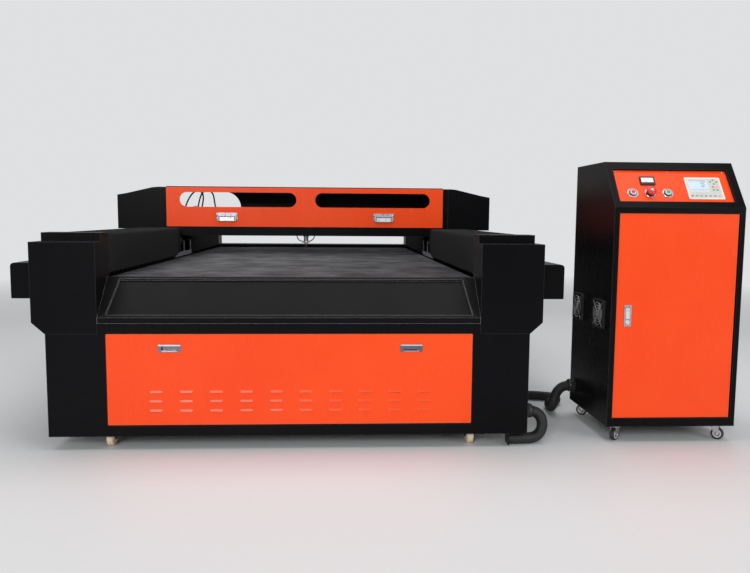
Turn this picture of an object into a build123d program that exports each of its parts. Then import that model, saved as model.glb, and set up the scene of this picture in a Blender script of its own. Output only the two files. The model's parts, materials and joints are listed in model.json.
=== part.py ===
from build123d import *
import math
import os

os.makedirs("parts", exist_ok=True)

# Large-format flatbed laser cutting and engraving machine: a bed with a moving gantry,
# and a control cabinet beside it. Millimetres, +Z up, the front faces -Y. Positions are
# written from the middle of the bed (X), from its front face (Y) and from the floor (Z).

# Sheet, seats and running fits
sheet = 2.0
gap = 0.3
running = 0.05

# Bed
bed_length = 3300.0
bed_width = 2000.0
body_width = 1900.0
lane_width = 1500.0
skirt_z = 55.0
waist_z = 464.0
bevel_rise = 45.0
box_top_z = 820.0
box_depth = 180.0
cap_start = 74.0
cap_rise = 35.0
deck_z = 676.0
deck_start = 156.0
shoulder_z = 740.0

# Frame
tube = 60.0
tube_wall = 3.0
frame_inset = 40.0
column_inset = 190.0
base_z = 95.0
beam_width = 150.0
beam_height = 100.0
beam_wall = 6.0
cross_tube = 40.0
cross_top_z = 612.0

# Bed wheels
bed_wheel_radius = 37.5
bed_wheel_width = 28.0
bed_wheel_x = 725.0
bed_axle_radius = 6.0

# Front door
door_width = 1438.0
door_z = 101.0
door_height = 362.0
door_flange = 18.0
door_slack = 2.0
door_pin_radius = 4.0
door_pin_inset = 8.0
louvre_columns = 10
louvre_rows = 3
louvre_pitch_x = 118.0
louvre_pitch_z = 37.5
louvre_length = 57.0
louvre_width = 10.0
louvre_rise = 3.0
louvre_lip = 0.8
louvre_z = 196.0
pull_x = 475.0
pull_z = 407.0
pull_width = 90.0
pull_height = 31.0

# Chute at the front of the table
chute_sheet = 3.0
chute_run = 152.0
chute_foot_z = 528.0
chute_lip = 23.0
chute_shelf = 22.0
pan_depth = 9.0
pan_top_width = 1398.0
pan_foot_width = 1440.0

# Side covers over the energy chains
chain_cover_width = 112.0
chain_cover_z = 592.0
chain_cover_height = 142.0
chain_cover_inset = 100.0
chain_slot = 12.0

# Rails, racks and bellows
rail_width = 20.0
rail_height = 17.5
rail_inset = 190.0
rack_size = 20.0
bellows_inset = 22.0
bellows_z = 690.0
pleat_pitch = 38.0
pleat_depth = 12.0

# Slat table
table_ledge = 46.0
table_angle = 3.0
slat_height = 40.0
slat_thickness = 3.0
slat_pitch = 36.0

# Waste tray
tray_width = 1400.0
tray_height = 60.0
tray_inset = 104.0

# Exhaust spigots at the back
spigot_radius = 75.0
spigot_length = 60.0
spigot_x = 420.0
spigot_z = 330.0

# Gantry
gantry_front = 1605.0
gantry_depth = 355.0
hood_top_z = 1092.0
hood_skirt_z = 806.0
pod_width = 253.0
pod_gap = 32.0
pod_z = 845.0
pod_step = 4.0
roof_bend = 13.0
roof_shoulder = 48.0
roof_edge = 52.0
roof_falls = (3.0, 39.0, 48.0)
rear_slot_x = -664.0
rear_slot_z = 975.0
rear_slot_length = 472.0
rear_slot_height = 200.0
cover_width = 1650.0
cover_z = 859.0
cover_depth = 3.7
cover_seat_side = 10.0
cover_seat_foot = 7.0
cover_seat_head = 8.0
window_length = 690.0
window_height = 86.0
window_x = 401.0
window_z = 1019.0
handle_x = 468.0
handle_z = 932.0
handle_width = 104.0
handle_drop = 36.0
gantry_beam_depth = 120.0
gantry_beam_height = 100.0
gantry_beam_set = 105.0
saddle_z = 770.0
saddle_plate = 15.0
saddle_inset = 30.0
chain_arm_half = 45.0
chain_arm_lift = 60.0
chain_arm_plate = 4.0

# Laser head, from the front of the gantry and from the floor
head_set = 40.0
nozzle_z = 742.0
nozzle_height = 23.0
mirror_z = 880.0
mirror_half = 22.0
slide_z = (830.0, 915.0)
lens_radius = 13.0
lens_ring_radius = 17.0
lens_ring_z = 800.0

# Control cabinet
cabinet_x = 1293.0
cabinet_y = 48.0
cabinet_width = 541.0
cabinet_depth = 483.0
cabinet_z = 67.0
cabinet_top_z = 1159.0
cabinet_slope_z = 970.0
cabinet_setback = 138.0
cabinet_door_inset = 24.0
cabinet_door_z = 104.0
cabinet_door_height = 841.0
cabinet_door_recess = 5.0
cabinet_hinge_inset = 7.0
cabinet_hinge_slack = 3.5
console_side = 27.0
console_foot = 30.0
console_length = 167.0
console_recess = 10.0
button_line = 80.0
button_x = (92.0, 165.0, 238.0)
caster_inset = 60.0
caster_inset_y = 50.0
caster_trail = 16.0
caster_wheel_radius = 25.0
caster_wheel_width = 20.0
fan_size = 120.0
fan_bore = 56.0
fan_guard = 3.0
fan_depth = 28.0
fan_pin_radius = 4.0
fan_z = 524.0
fan_y = (173.0, 441.0)

# Conduits
conduit_diameter = 46.0
floor_line = conduit_diameter / 2 + 1.0

# Derived places on the bed
box_out = bed_width / 2
body_out = body_width / 2
box_in = lane_width / 2
bellows_out = box_out - bellows_inset
cap_top_z = box_top_z + cap_rise
frame_out = body_out - sheet - gap
beam_z = shoulder_z - beam_height
beam_mid = frame_out - beam_width / 2
frame_end = bed_length - frame_inset
column_step = (bed_length - 2 * column_inset - tube) / 3
column_y = [column_inset + column_step * i for i in range(4)]
base_cross_y = [frame_inset, *column_y[1:3], frame_end - tube]
surround_y = chute_sheet + gap
door_y = surround_y - 1.0
slat_z = deck_z - slat_height
box_end = bed_length - box_depth
deck_end = box_end
gantry_back = gantry_front + gantry_depth
hood_front = gantry_front + pod_step
pod_start = cover_width / 2 + pod_gap
pod_out = pod_start + pod_width
gantry_beam_y = gantry_front + gantry_beam_set
head_y = gantry_front + head_set
gantry_beam_z = saddle_z + saddle_plate + 21.0

# The origin is the middle of the whole machine's footprint, on the floor
left_reach = -(box_out + chain_cover_width)
right_reach = cabinet_x + cabinet_width
back_reach = bed_length + spigot_length
front_reach = min(0.0, door_y - louvre_rise)
origin_x = -(left_reach + right_reach) / 2
origin_y = -(front_reach + back_reach) / 2


def level(z, x=0.0, y=0.0):
    """Level plane at height z, with its origin over the point x, y of the bed."""
    return Plane(origin=(origin_x + x, origin_y + y, z), x_dir=(1, 0, 0), z_dir=(0, 0, 1))


def facing(y, x=0.0, z=0.0):
    """Upright plane that faces the front: its axes are X and Z, its normal is -Y."""
    return Plane(origin=(origin_x + x, origin_y + y, z), x_dir=(1, 0, 0), z_dir=(0, -1, 0))


def across(x, y=0.0, z=0.0):
    """Upright plane that faces right: its axes are Y and Z, its normal is +X."""
    return Plane(origin=(origin_x + x, origin_y + y, z), x_dir=(0, 1, 0), z_dir=(1, 0, 0))


bed_middle = across(0.0)


def block(x, y, z, mode=Mode.ADD):
    """Straight bar or cut between two limits on each axis."""
    with BuildSketch(level(z[0], (x[0] + x[1]) / 2, (y[0] + y[1]) / 2)) as footprint:
        Rectangle(x[1] - x[0], y[1] - y[0])
    extrude(footprint.sketch, amount=z[1] - z[0], mode=mode)


def outline(points):
    """Closed face through the points, in the sketch that is open."""
    Polygon(*points, align=None)


def folded(points, thickness):
    """Outline of a bent sheet, with its thickness on the right hand of the points."""
    path = [Vector(*p) for p in points]
    inner = []
    for i, corner in enumerate(path):
        start = path[max(i - 1, 0)]
        end = path[min(i + 1, len(path) - 1)]
        arriving = (corner - start) if i else (end - corner)
        leaving = (end - corner) if i < len(path) - 1 else (corner - start)
        first = Vector(arriving.Y, -arriving.X).normalized()
        second = Vector(leaving.Y, -leaving.X).normalized()
        inner.append(corner + (first + second) * (thickness / (1 + first.dot(second))))
    return [(p.X, p.Y) for p in path + inner[::-1]]


# Welded frame: base ring, columns, side beams, table cross tubes, rigid wheel brackets and
# two plates under the base ring that the conduits end on
wheel_axle_z = bed_wheel_radius
bracket_half = bed_wheel_width / 2 + 1.5
bracket_plate = 4.0
near_socket = (880.0, 42.0)
far_socket = (905.0, 774.0)
socket_plate = 4.0
socket_half = 28.0
wheel_y = (frame_inset + tube / 2, frame_end - tube / 2)
with BuildPart() as bed_frame:
    for side in (-1, 1):
        limits = sorted((side * frame_out, side * (frame_out - tube)))
        block(limits, (frame_inset, frame_end), (base_z, base_z + tube))
        for y in column_y:
            block(limits, (y, y + tube), (base_z, beam_z))
        beam = sorted((side * frame_out, side * (frame_out - beam_width)))
        block(beam, (frame_inset, frame_end), (beam_z, shoulder_z))
    for y in base_cross_y:
        block((-frame_out, frame_out), (y, y + tube), (base_z, base_z + tube))
    for side in (-1, 1):
        limits = sorted((side * (frame_out - tube_wall), side * (frame_out - tube + tube_wall)))
        block(
            limits,
            (frame_inset, frame_end),
            (base_z + tube_wall, base_z + tube - tube_wall),
            mode=Mode.SUBTRACT,
        )
        beam = sorted((side * (frame_out - beam_wall), side * (frame_out - beam_width + beam_wall)))
        block(
            beam,
            (frame_inset, frame_end),
            (beam_z + beam_wall, shoulder_z - beam_wall),
            mode=Mode.SUBTRACT,
        )
    for y in column_y:
        block(
            (tube - frame_out, frame_out - tube),
            (y + tube / 2 - cross_tube / 2, y + tube / 2 + cross_tube / 2),
            (cross_top_z - cross_tube, cross_top_z),
        )
    for x in (-bed_wheel_x, bed_wheel_x):
        for y in wheel_y:
            block((x - 32, x + 32), (y - 28, y + 28), (base_z - bracket_plate, base_z))
            for cheek in (-1, 1):
                with BuildSketch(across(x + cheek * (bracket_half + 1.5), y)):
                    outline([(-26, base_z), (26, base_z), (12, wheel_axle_z - 6), (-12, wheel_axle_z - 6)])
                    with Locations((0, wheel_axle_z)):
                        Circle(12)
                extrude(amount=1.5, both=True)
            with BuildSketch(across(x, y, wheel_axle_z)):
                Circle(bed_axle_radius)
            extrude(amount=bracket_half + 5, both=True)
    for x, y in (near_socket, far_socket):
        block((x - socket_plate, x), (y - socket_half, y + socket_half), (3, base_z))
bed_frame.part.label = "bed_frame"
export_step(bed_frame.part, "parts/bed_frame.step")

# Bed wheels turn on the bracket axles
wheel_names = ("front_left", "front_right", "rear_left", "rear_right")
wheel_places = [(x, y) for y in wheel_y for x in (-bed_wheel_x, bed_wheel_x)]
for name, (x, y) in zip(wheel_names, wheel_places):
    with BuildPart() as bed_wheel:
        with BuildSketch(level(wheel_axle_z, x, y)):
            outline([
                (-bed_wheel_width / 2, bed_axle_radius + running),
                (-bed_wheel_width / 2, 16),
                (-bed_wheel_width / 2 + 4, 19),
                (-bed_wheel_width / 2 + 4, bed_wheel_radius - 9),
                (-bed_wheel_width / 2 + 1, bed_wheel_radius - 6),
                (-bed_wheel_width / 2 + 1, bed_wheel_radius - 4),
                (-bed_wheel_width / 2 + 5, bed_wheel_radius),
                (bed_wheel_width / 2 - 5, bed_wheel_radius),
                (bed_wheel_width / 2 - 1, bed_wheel_radius - 4),
                (bed_wheel_width / 2 - 1, bed_wheel_radius - 6),
                (bed_wheel_width / 2 - 4, bed_wheel_radius - 9),
                (bed_wheel_width / 2 - 4, 19),
                (bed_wheel_width / 2, 16),
                (bed_wheel_width / 2, bed_axle_radius + running),
            ])
        revolve(axis=Axis((origin_x + x, origin_y + y, wheel_axle_z), (1, 0, 0)))
    bed_wheel.part.label = f"bed_wheel_{name}"
    export_step(bed_wheel.part, f"parts/bed_wheel_{name}.step")

# Side panels: folded sheet with a shoulder, a bevel and a bottom flange
gland_y = 66.0
gland_z = 134.0
gland_radius = 30.0
gland_length = 4.0
with BuildPart() as side_panel_right:
    with BuildSketch(facing(box_depth + gap)):
        outline(folded([
            (bellows_out + 4, shoulder_z),
            (box_out, shoulder_z),
            (box_out, waist_z + bevel_rise),
            (body_out, waist_z),
            (body_out, waist_z - 14),
        ], sheet))
    extrude(amount=-(box_end - box_depth - 2 * gap))
    with BuildSketch(facing(surround_y + sheet + gap)):
        outline(folded([
            (body_out, waist_z - gap),
            (body_out, skirt_z),
            (body_out - 20, skirt_z),
        ], sheet))
    extrude(amount=-(bed_length - surround_y - 2 * sheet - 2 * gap))
    bare_panel = mirror(about=bed_middle, mode=Mode.PRIVATE)
    with BuildSketch(across(body_out, gland_y, gland_z)):
        Circle(gland_radius)
    extrude(amount=gland_length)
side_panel_right.part.label = "side_panel_right"
export_step(side_panel_right.part, "parts/side_panel_right.step")

with BuildPart() as side_panel_left:
    add(bare_panel)
side_panel_left.part.label = "side_panel_left"
export_step(side_panel_left.part, "parts/side_panel_left.step")

# Covers over the energy chains: closed troughs with a slot along the inner top edge
chain_in = box_out + gap
chain_out = box_out + chain_cover_width
chain_top_z = chain_cover_z + chain_cover_height
chain_length = bed_length - 2 * chain_cover_inset
with BuildPart() as chain_cover_right:
    with BuildSketch(facing(chain_cover_inset)) as trough:
        with Locations(((chain_in + chain_out) / 2, chain_cover_z + chain_cover_height / 2)):
            Rectangle(chain_out - chain_in, chain_cover_height)
        outer = trough.vertices().group_by(Axis.X)[-1].sort_by(Axis.Y)
        fillet(outer[-1], 15)
        fillet(trough.vertices().group_by(Axis.X)[-1].sort_by(Axis.Y)[0], 5)
    extrude(amount=-chain_length)
    with BuildSketch(facing(chain_cover_inset + sheet)) as hollow:
        with Locations(((chain_in + chain_out) / 2, chain_cover_z + chain_cover_height / 2)):
            Rectangle(chain_out - chain_in - 2 * sheet, chain_cover_height - 2 * sheet)
        outer = hollow.vertices().group_by(Axis.X)[-1].sort_by(Axis.Y)
        fillet(outer[-1], 15 - sheet)
        fillet(hollow.vertices().group_by(Axis.X)[-1].sort_by(Axis.Y)[0], 5 - sheet)
    extrude(amount=-(chain_length - 2 * sheet), mode=Mode.SUBTRACT)
    block(
        (chain_in + sheet, chain_in + sheet + chain_slot),
        (chain_cover_inset + 60, bed_length - chain_cover_inset - 60),
        (chain_top_z - 3 * sheet, chain_top_z + 1),
        mode=Mode.SUBTRACT,
    )
chain_cover_right.part.label = "chain_cover_right"
export_step(chain_cover_right.part, "parts/chain_cover_right.step")

with BuildPart() as chain_cover_left:
    mirror(chain_cover_right.part, about=bed_middle)
chain_cover_left.part.label = "chain_cover_left"
export_step(chain_cover_left.part, "parts/chain_cover_left.step")

# Front surround: one sheet round the door, flanged inwards, with the door's pivot pins
opening_half = door_width / 2 + door_slack
opening_z = (door_z - 2 * door_slack, door_z + door_height + door_slack)
door_axis_y = door_y + door_pin_inset
door_axis_z = door_z + door_pin_inset
surround_flange = 25.0
with BuildPart() as front_surround:
    with BuildSketch(facing(surround_y)):
        outline([
            (-body_out, skirt_z),
            (body_out, skirt_z),
            (body_out, waist_z - gap),
            (box_in - gap, waist_z - gap),
            (box_in - gap, chute_foot_z - 8),
            (gap - box_in, chute_foot_z - 8),
            (gap - box_in, waist_z - gap),
            (-body_out, waist_z - gap),
        ])
        with Locations((0, sum(opening_z) / 2)):
            Rectangle(2 * opening_half, opening_z[1] - opening_z[0], mode=Mode.SUBTRACT)
    extrude(amount=-sheet)
    with BuildSketch(facing(surround_y)):
        with Locations((0, sum(opening_z) / 2)):
            Rectangle(2 * (opening_half + sheet), opening_z[1] - opening_z[0] + 2 * sheet)
            Rectangle(2 * opening_half, opening_z[1] - opening_z[0], mode=Mode.SUBTRACT)
    extrude(amount=-surround_flange)
    for side in (-1, 1):
        with BuildSketch(across(side * opening_half, door_axis_y, door_axis_z)):
            Circle(door_pin_radius)
        extrude(amount=-side * (door_slack + 4))
front_surround.part.label = "front_surround"
export_step(front_surround.part, "parts/front_surround.step")

# Front door: a pan with pressed louvres that open downwards, hung on two pins at its lower corners
with BuildPart() as louvre:
    with BuildSketch(facing(door_y, 0, louvre_z)):
        RectangleRounded(louvre_length, louvre_width, louvre_width / 2 - 0.5)
    with BuildSketch(facing(door_y - louvre_rise, 0, louvre_z + 0.8 - louvre_width / 2)):
        RectangleRounded(louvre_length - 12, 1.4, 0.6)
    loft()
louvre_places = [
    (louvre_pitch_x * (column - (louvre_columns - 1) / 2), 0, louvre_pitch_z * (row - (louvre_rows - 1) / 2))
    for column in range(louvre_columns)
    for row in range(louvre_rows)
]
with BuildPart() as front_door:
    door_mid_z = door_z + door_height / 2
    with BuildSketch(facing(door_y, 0, door_mid_z)):
        RectangleRounded(door_width, door_height, 4)
    extrude(amount=-door_flange)
    with BuildSketch(facing(door_y + sheet, 0, door_mid_z)):
        RectangleRounded(door_width - 2 * sheet, door_height - 2 * sheet, 4 - sheet / 2)
    extrude(amount=-door_flange, mode=Mode.SUBTRACT)
    with BuildSketch(across(-door_width / 2 - 1, door_axis_y, door_axis_z)):
        Circle(door_pin_radius + running)
    extrude(amount=door_width + 2, mode=Mode.SUBTRACT)
    with Locations(louvre_places):
        add(louvre.part)
    with BuildSketch(facing(door_y - louvre_rise + louvre_lip, 0, louvre_z - louvre_width / 2)):
        with GridLocations(louvre_pitch_x, louvre_pitch_z, louvre_columns, louvre_rows):
            Rectangle(louvre_length - 17, 3.2)
    extrude(amount=-(louvre_rise + sheet), mode=Mode.SUBTRACT)
    with BuildSketch(facing(door_y, 0, pull_z)):
        with GridLocations(2 * pull_x, 1, 2, 1):
            Rectangle(pull_width - 4, pull_height - 4)
    extrude(amount=-door_flange, mode=Mode.SUBTRACT)
front_door.part.label = "front_door"
export_step(front_door.part, "parts/front_door.step")

# Recessed pulls: a plate on the door's face with a cup behind it
pull_plate = 1.2
cup_depth = 14.0
with BuildPart() as door_pulls:
    with BuildSketch(facing(door_y, 0, pull_z)):
        with GridLocations(2 * pull_x, 1, 2, 1):
            RectangleRounded(pull_width, pull_height, 2)
    extrude(amount=pull_plate)
    with BuildSketch(facing(door_y, 0, pull_z)):
        with GridLocations(2 * pull_x, 1, 2, 1):
            RectangleRounded(pull_width - 6, pull_height - 6, 5)
    extrude(amount=-cup_depth)
    with BuildSketch(facing(door_y - pull_plate, 0, pull_z)):
        with GridLocations(2 * pull_x, 1, 2, 1):
            RectangleRounded(pull_width - 26, pull_height - 11, 8)
    extrude(amount=-(cup_depth + pull_plate - 1.5), mode=Mode.SUBTRACT)
door_pulls.part.label = "door_pulls"
export_step(door_pulls.part, "parts/door_pulls.step")

# Chute: a folded sheet that slopes from the table to the front, with a shallow pan pressed in it
chute_rise = deck_z - chute_foot_z
chute_slope = math.hypot(chute_run, chute_rise)
slope_normal = Vector(0, -chute_rise, chute_run).normalized()
chute_plane = Plane(
    origin=(origin_x, origin_y, chute_foot_z), x_dir=(1, 0, 0), z_dir=slope_normal
)


def pan_outline(inset):
    """The pan's tapered outline on the slope, drawn in by inset."""
    foot = 14.0 + inset
    top = chute_slope - 12.0 - inset
    outline([
        (-pan_foot_width / 2 + inset, foot),
        (pan_foot_width / 2 - inset, foot),
        (pan_top_width / 2 - inset, top),
        (-pan_top_width / 2 + inset, top),
    ])


with BuildPart() as front_chute:
    with BuildSketch(across(gap - box_in)):
        outline(folded([
            (0, chute_foot_z - chute_lip),
            (0, chute_foot_z),
            (chute_run, deck_z),
            (chute_run + chute_shelf, deck_z),
        ], chute_sheet))
    extrude(amount=2 * (box_in - gap))
    with BuildSketch(chute_plane):
        pan_outline(-2.0)
    extrude(amount=-(pan_depth + chute_sheet))
    with BuildSketch(chute_plane):
        pan_outline(0.0)
    extrude(amount=-pan_depth, mode=Mode.SUBTRACT)
front_chute.part.label = "front_chute"
export_step(front_chute.part, "parts/front_chute.step")


box_outline = [
    (box_in, waist_z),
    (body_out, waist_z),
    (box_out, waist_z + bevel_rise),
    (box_out, box_top_z),
    (box_in, box_top_z),
]


def box_shell(front, cap, open_y):
    """Right end box with its raised cap, closed towards one end and open at open_y."""
    with BuildSketch(facing(front)) as outside:
        outline(box_outline)
    extrude(outside.sketch, amount=-box_depth)
    block((box_in, bellows_out), cap, (box_top_z - 3 * sheet, cap_top_z))
    inside = (front + sheet, front + box_depth) if open_y > front else (front, front + box_depth - sheet)
    with BuildSketch(facing(inside[0])) as hollow:
        outline(box_outline)
        offset(amount=-sheet, kind=Kind.INTERSECTION, mode=Mode.REPLACE)
    extrude(hollow.sketch, amount=inside[0] - inside[1], mode=Mode.SUBTRACT)
    cap_inside = (max(cap[0] + sheet, inside[0]), min(cap[1] - sheet, inside[1]))
    cap_inside = (cap_inside[0], open_y) if open_y > front else (open_y, cap_inside[1])
    block(
        (box_in + sheet, bellows_out - sheet),
        cap_inside,
        (box_top_z - 4 * sheet, cap_top_z - sheet),
        mode=Mode.SUBTRACT,
    )


# End boxes at the front: they close the side beams and carry the bellows' end caps
with BuildPart() as end_box_right:
    box_shell(0, (cap_start, box_depth), box_depth)
end_box_right.part.label = "end_box_right"
export_step(end_box_right.part, "parts/end_box_right.step")

with BuildPart() as end_box_left:
    mirror(end_box_right.part, about=bed_middle)
end_box_left.part.label = "end_box_left"
export_step(end_box_left.part, "parts/end_box_left.step")

# Rear cover: back wall with two exhaust spigots, both rear end boxes and the deck between them
deck_lip_z = deck_z + 24
with BuildPart() as rear_panel:
    box_shell(box_end, (box_end, bed_length - cap_start), box_end)
    mirror(about=bed_middle)
    with BuildSketch(facing(bed_length - sheet)):
        outline([
            (-body_out, skirt_z),
            (body_out, skirt_z),
            (body_out, waist_z + sheet),
            (box_in + sheet, waist_z + sheet),
            (box_in + sheet, deck_lip_z),
            (-box_in - sheet, deck_lip_z),
            (-box_in - sheet, waist_z + sheet),
            (-body_out, waist_z + sheet),
        ])
        with Locations((-spigot_x, spigot_z), (spigot_x, spigot_z)):
            Circle(spigot_radius - sheet, mode=Mode.SUBTRACT)
    extrude(amount=-sheet)
    with BuildSketch(across(-box_in)):
        outline(folded([
            (deck_end + gap, slat_z),
            (deck_end + gap, deck_lip_z),
            (bed_length, deck_lip_z),
        ], sheet))
    extrude(amount=2 * box_in)
    with BuildSketch(facing(bed_length - sheet)):
        with Locations((-spigot_x, spigot_z), (spigot_x, spigot_z)):
            Circle(spigot_radius)
            Circle(spigot_radius - sheet, mode=Mode.SUBTRACT)
    extrude(amount=-(sheet + spigot_length))
rear_panel.part.label = "rear_panel"
export_step(rear_panel.part, "parts/rear_panel.step")

# Rails and racks on the side beams
rack_x = beam_mid - 50
with BuildPart() as side_rails:
    with BuildSketch(facing(rail_inset, beam_mid, shoulder_z)):
        outline([
            (-rail_width / 2, 0),
            (rail_width / 2, 0),
            (rail_width / 2, 6),
            (rail_width / 2 - 2.5, 9),
            (rail_width / 2, 12),
            (rail_width / 2, rail_height),
            (-rail_width / 2, rail_height),
            (-rail_width / 2, 12),
            (2.5 - rail_width / 2, 9),
            (-rail_width / 2, 6),
        ])
    extrude(amount=-(bed_length - 2 * rail_inset))
    block(
        (rack_x - rack_size / 2, rack_x + rack_size / 2),
        (rail_inset, bed_length - rail_inset),
        (shoulder_z, shoulder_z + rack_size),
    )
    mirror(about=bed_middle)
side_rails.part.label = "side_rails"
export_step(side_rails.part, "parts/side_rails.step")


def zigzag(start, end, ridge, valley):
    """Points of a pleated edge that runs from start to end between a ridge and a valley."""
    folds = 2 * max(2, round((end - start) / pleat_pitch))
    step = (end - start) / folds
    return [(start + i * step, valley if i % 2 else ridge) for i in range(folds + 1)]


def bellows_shell(start, end):
    """Pleated channel, open below, over the right side beam."""
    with BuildSketch(across(box_in)) as side_view:
        crest = zigzag(start, end, cap_top_z, cap_top_z - pleat_depth)
        outline([(start, bellows_z), *crest, (end, bellows_z)])
    extrude(side_view.sketch, amount=bellows_out - box_in)
    with BuildSketch(level(bellows_z)) as plan_view:
        outer = zigzag(start, end, bellows_out, bellows_out - pleat_depth)
        inner = zigzag(start, end, box_in, box_in + pleat_depth)
        outline([(x, y) for y, x in outer] + [(x, y) for y, x in inner[::-1]])
    extrude(plan_view.sketch, amount=cap_top_z - bellows_z, mode=Mode.INTERSECT)
    block(
        (box_in + pleat_depth + sheet, bellows_out - pleat_depth - sheet),
        (start - 1, end + 1),
        (bellows_z - 1, cap_top_z - pleat_depth - sheet),
        mode=Mode.SUBTRACT,
    )


# Bellows: pleated covers over the rails, in front of and behind the gantry
bellows_spans = {
    "front": (box_depth + gap, gantry_front - gap),
    "rear": (gantry_back + gap, box_end - gap),
}
for place, (start, end) in bellows_spans.items():
    with BuildPart() as bellows_right:
        bellows_shell(start, end)
    bellows_right.part.label = f"bellows_{place}_right"
    export_step(bellows_right.part, f"parts/bellows_{place}_right.step")
    with BuildPart() as bellows_left:
        mirror(bellows_right.part, about=bed_middle)
    bellows_left.part.label = f"bellows_{place}_left"
    export_step(bellows_left.part, f"parts/bellows_{place}_left.step")

# Slat table: an angle-iron ring with two bearers, and flat slats on edge across it
table_out = box_in - 4
table_length = deck_end - deck_start
table_mid_y = (deck_start + deck_end) / 2
with BuildPart() as table_frame:
    with BuildSketch(level(cross_top_z, 0, table_mid_y)):
        Rectangle(2 * table_out, table_length)
        Rectangle(2 * (table_out - table_angle), table_length - 2 * table_angle, mode=Mode.SUBTRACT)
    extrude(amount=deck_z - chute_sheet - cross_top_z)
    with BuildSketch(level(slat_z - table_angle, 0, table_mid_y)):
        Rectangle(2 * table_out, table_length)
        Rectangle(
            2 * (table_out - table_ledge), table_length - 2 * table_ledge, mode=Mode.SUBTRACT
        )
    extrude(amount=table_angle)
    for x in (-240, 240):
        block((x - 10, x + 10), (deck_start + 1, deck_end - 1), (cross_top_z, slat_z))
table_frame.part.label = "table_frame"
export_step(table_frame.part, "parts/table_frame.step")

slat_run = deck_end - deck_start - 2 * chute_shelf - 20
slat_count = int(slat_run // slat_pitch) + 1
with BuildPart() as table_slats:
    with BuildSketch(level(slat_z, 0, table_mid_y)):
        with GridLocations(1, slat_pitch, 1, slat_count):
            Rectangle(2 * (table_out - table_angle - gap), slat_thickness)
    extrude(amount=slat_height)
table_slats.part.label = "table_slats"
export_step(table_slats.part, "parts/table_slats.step")

# Waste tray: an open pan on the base cross tubes that catches what falls through the slats
tray_z = base_z + tube
with BuildPart() as waste_tray:
    block(
        (-tray_width / 2, tray_width / 2),
        (tray_inset, bed_length - tray_inset),
        (tray_z, tray_z + tray_height),
    )
    top = waste_tray.faces().sort_by(Axis.Z)[-1]
    offset(amount=-sheet, openings=top)
waste_tray.part.label = "waste_tray"
export_step(waste_tray.part, "parts/waste_tray.step")

# Gantry frame: beam on two saddles, with the bearing blocks, hood posts and chain arms
beam_back_y = gantry_beam_y + gantry_beam_depth
saddle_in = box_in + saddle_inset
saddle_out = bellows_out - pleat_depth - 1
saddle_y = (gantry_front + 20, gantry_back - 20)
block_width = 44.0
block_length = 70.0
post_x = cover_width / 2 + 15
arm_x = chain_in + sheet + chain_slot / 2
arm_half = chain_arm_plate / 2
arm_y = (
    gantry_beam_y + gantry_beam_depth / 2 - chain_arm_half,
    gantry_beam_y + gantry_beam_depth / 2 + chain_arm_half,
)
saddle_top_z = saddle_z + saddle_plate
with BuildPart() as gantry_frame:
    block(
        (-saddle_out, saddle_out),
        (gantry_beam_y, beam_back_y),
        (gantry_beam_z, gantry_beam_z + gantry_beam_height),
    )
    block(
        (-saddle_out, saddle_out),
        (gantry_beam_y + beam_wall, beam_back_y - beam_wall),
        (gantry_beam_z + beam_wall, gantry_beam_z + gantry_beam_height - beam_wall),
        mode=Mode.SUBTRACT,
    )
    block((saddle_in, saddle_out), saddle_y, (saddle_z, saddle_top_z))
    block((saddle_in + 30, saddle_out - 20), (gantry_beam_y, beam_back_y), (saddle_z, gantry_beam_z))
    for y in (saddle_y[0] + 5, saddle_y[1] - 5 - block_length):
        block(
            (beam_mid - block_width / 2, beam_mid + block_width / 2),
            (y, y + block_length),
            (shoulder_z + 5, saddle_z),
        )
    block(
        (beam_mid - rail_width / 2 - gap, beam_mid + rail_width / 2 + gap),
        saddle_y,
        (shoulder_z, shoulder_z + rail_height + gap),
        mode=Mode.SUBTRACT,
    )
    block(
        (post_x, post_x + 6),
        (gantry_beam_y - 10, beam_back_y + 10),
        (gantry_beam_z + gantry_beam_height, hood_top_z - sheet - gap),
    )
    block((saddle_out, arm_x + arm_half), arm_y, (saddle_top_z - chain_arm_plate, saddle_top_z))
    block((arm_x - arm_half, arm_x + arm_half), arm_y, (chain_cover_z + chain_arm_lift, saddle_top_z))
    mirror(about=bed_middle)
gantry_frame.part.label = "gantry_frame"
export_step(gantry_frame.part, "parts/gantry_frame.step")


def hood_roof(inset):
    """Right half of the hood's roof line, from the middle to the pod's outer wall."""
    top = hood_top_z - inset
    return [
        (pod_start + roof_bend, top),
        (pod_start + roof_shoulder, top - roof_falls[0]),
        (pod_out - roof_edge, top - roof_falls[1]),
        (pod_out - inset, top - roof_falls[2]),
    ]


def bellows_plates():
    """Plates that the bellows end on, cut out over the rails, in the sketch that is open."""
    for side in (-1, 1):
        with Locations((side * (box_in + bellows_out) / 2, (bellows_z + pod_z) / 2)):
            Rectangle(bellows_out - box_in, pod_z - bellows_z)
        with Locations((side * beam_mid, (bellows_z + saddle_z) / 2)):
            Rectangle(beam_width + 26, saddle_z - bellows_z, mode=Mode.SUBTRACT)


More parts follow.
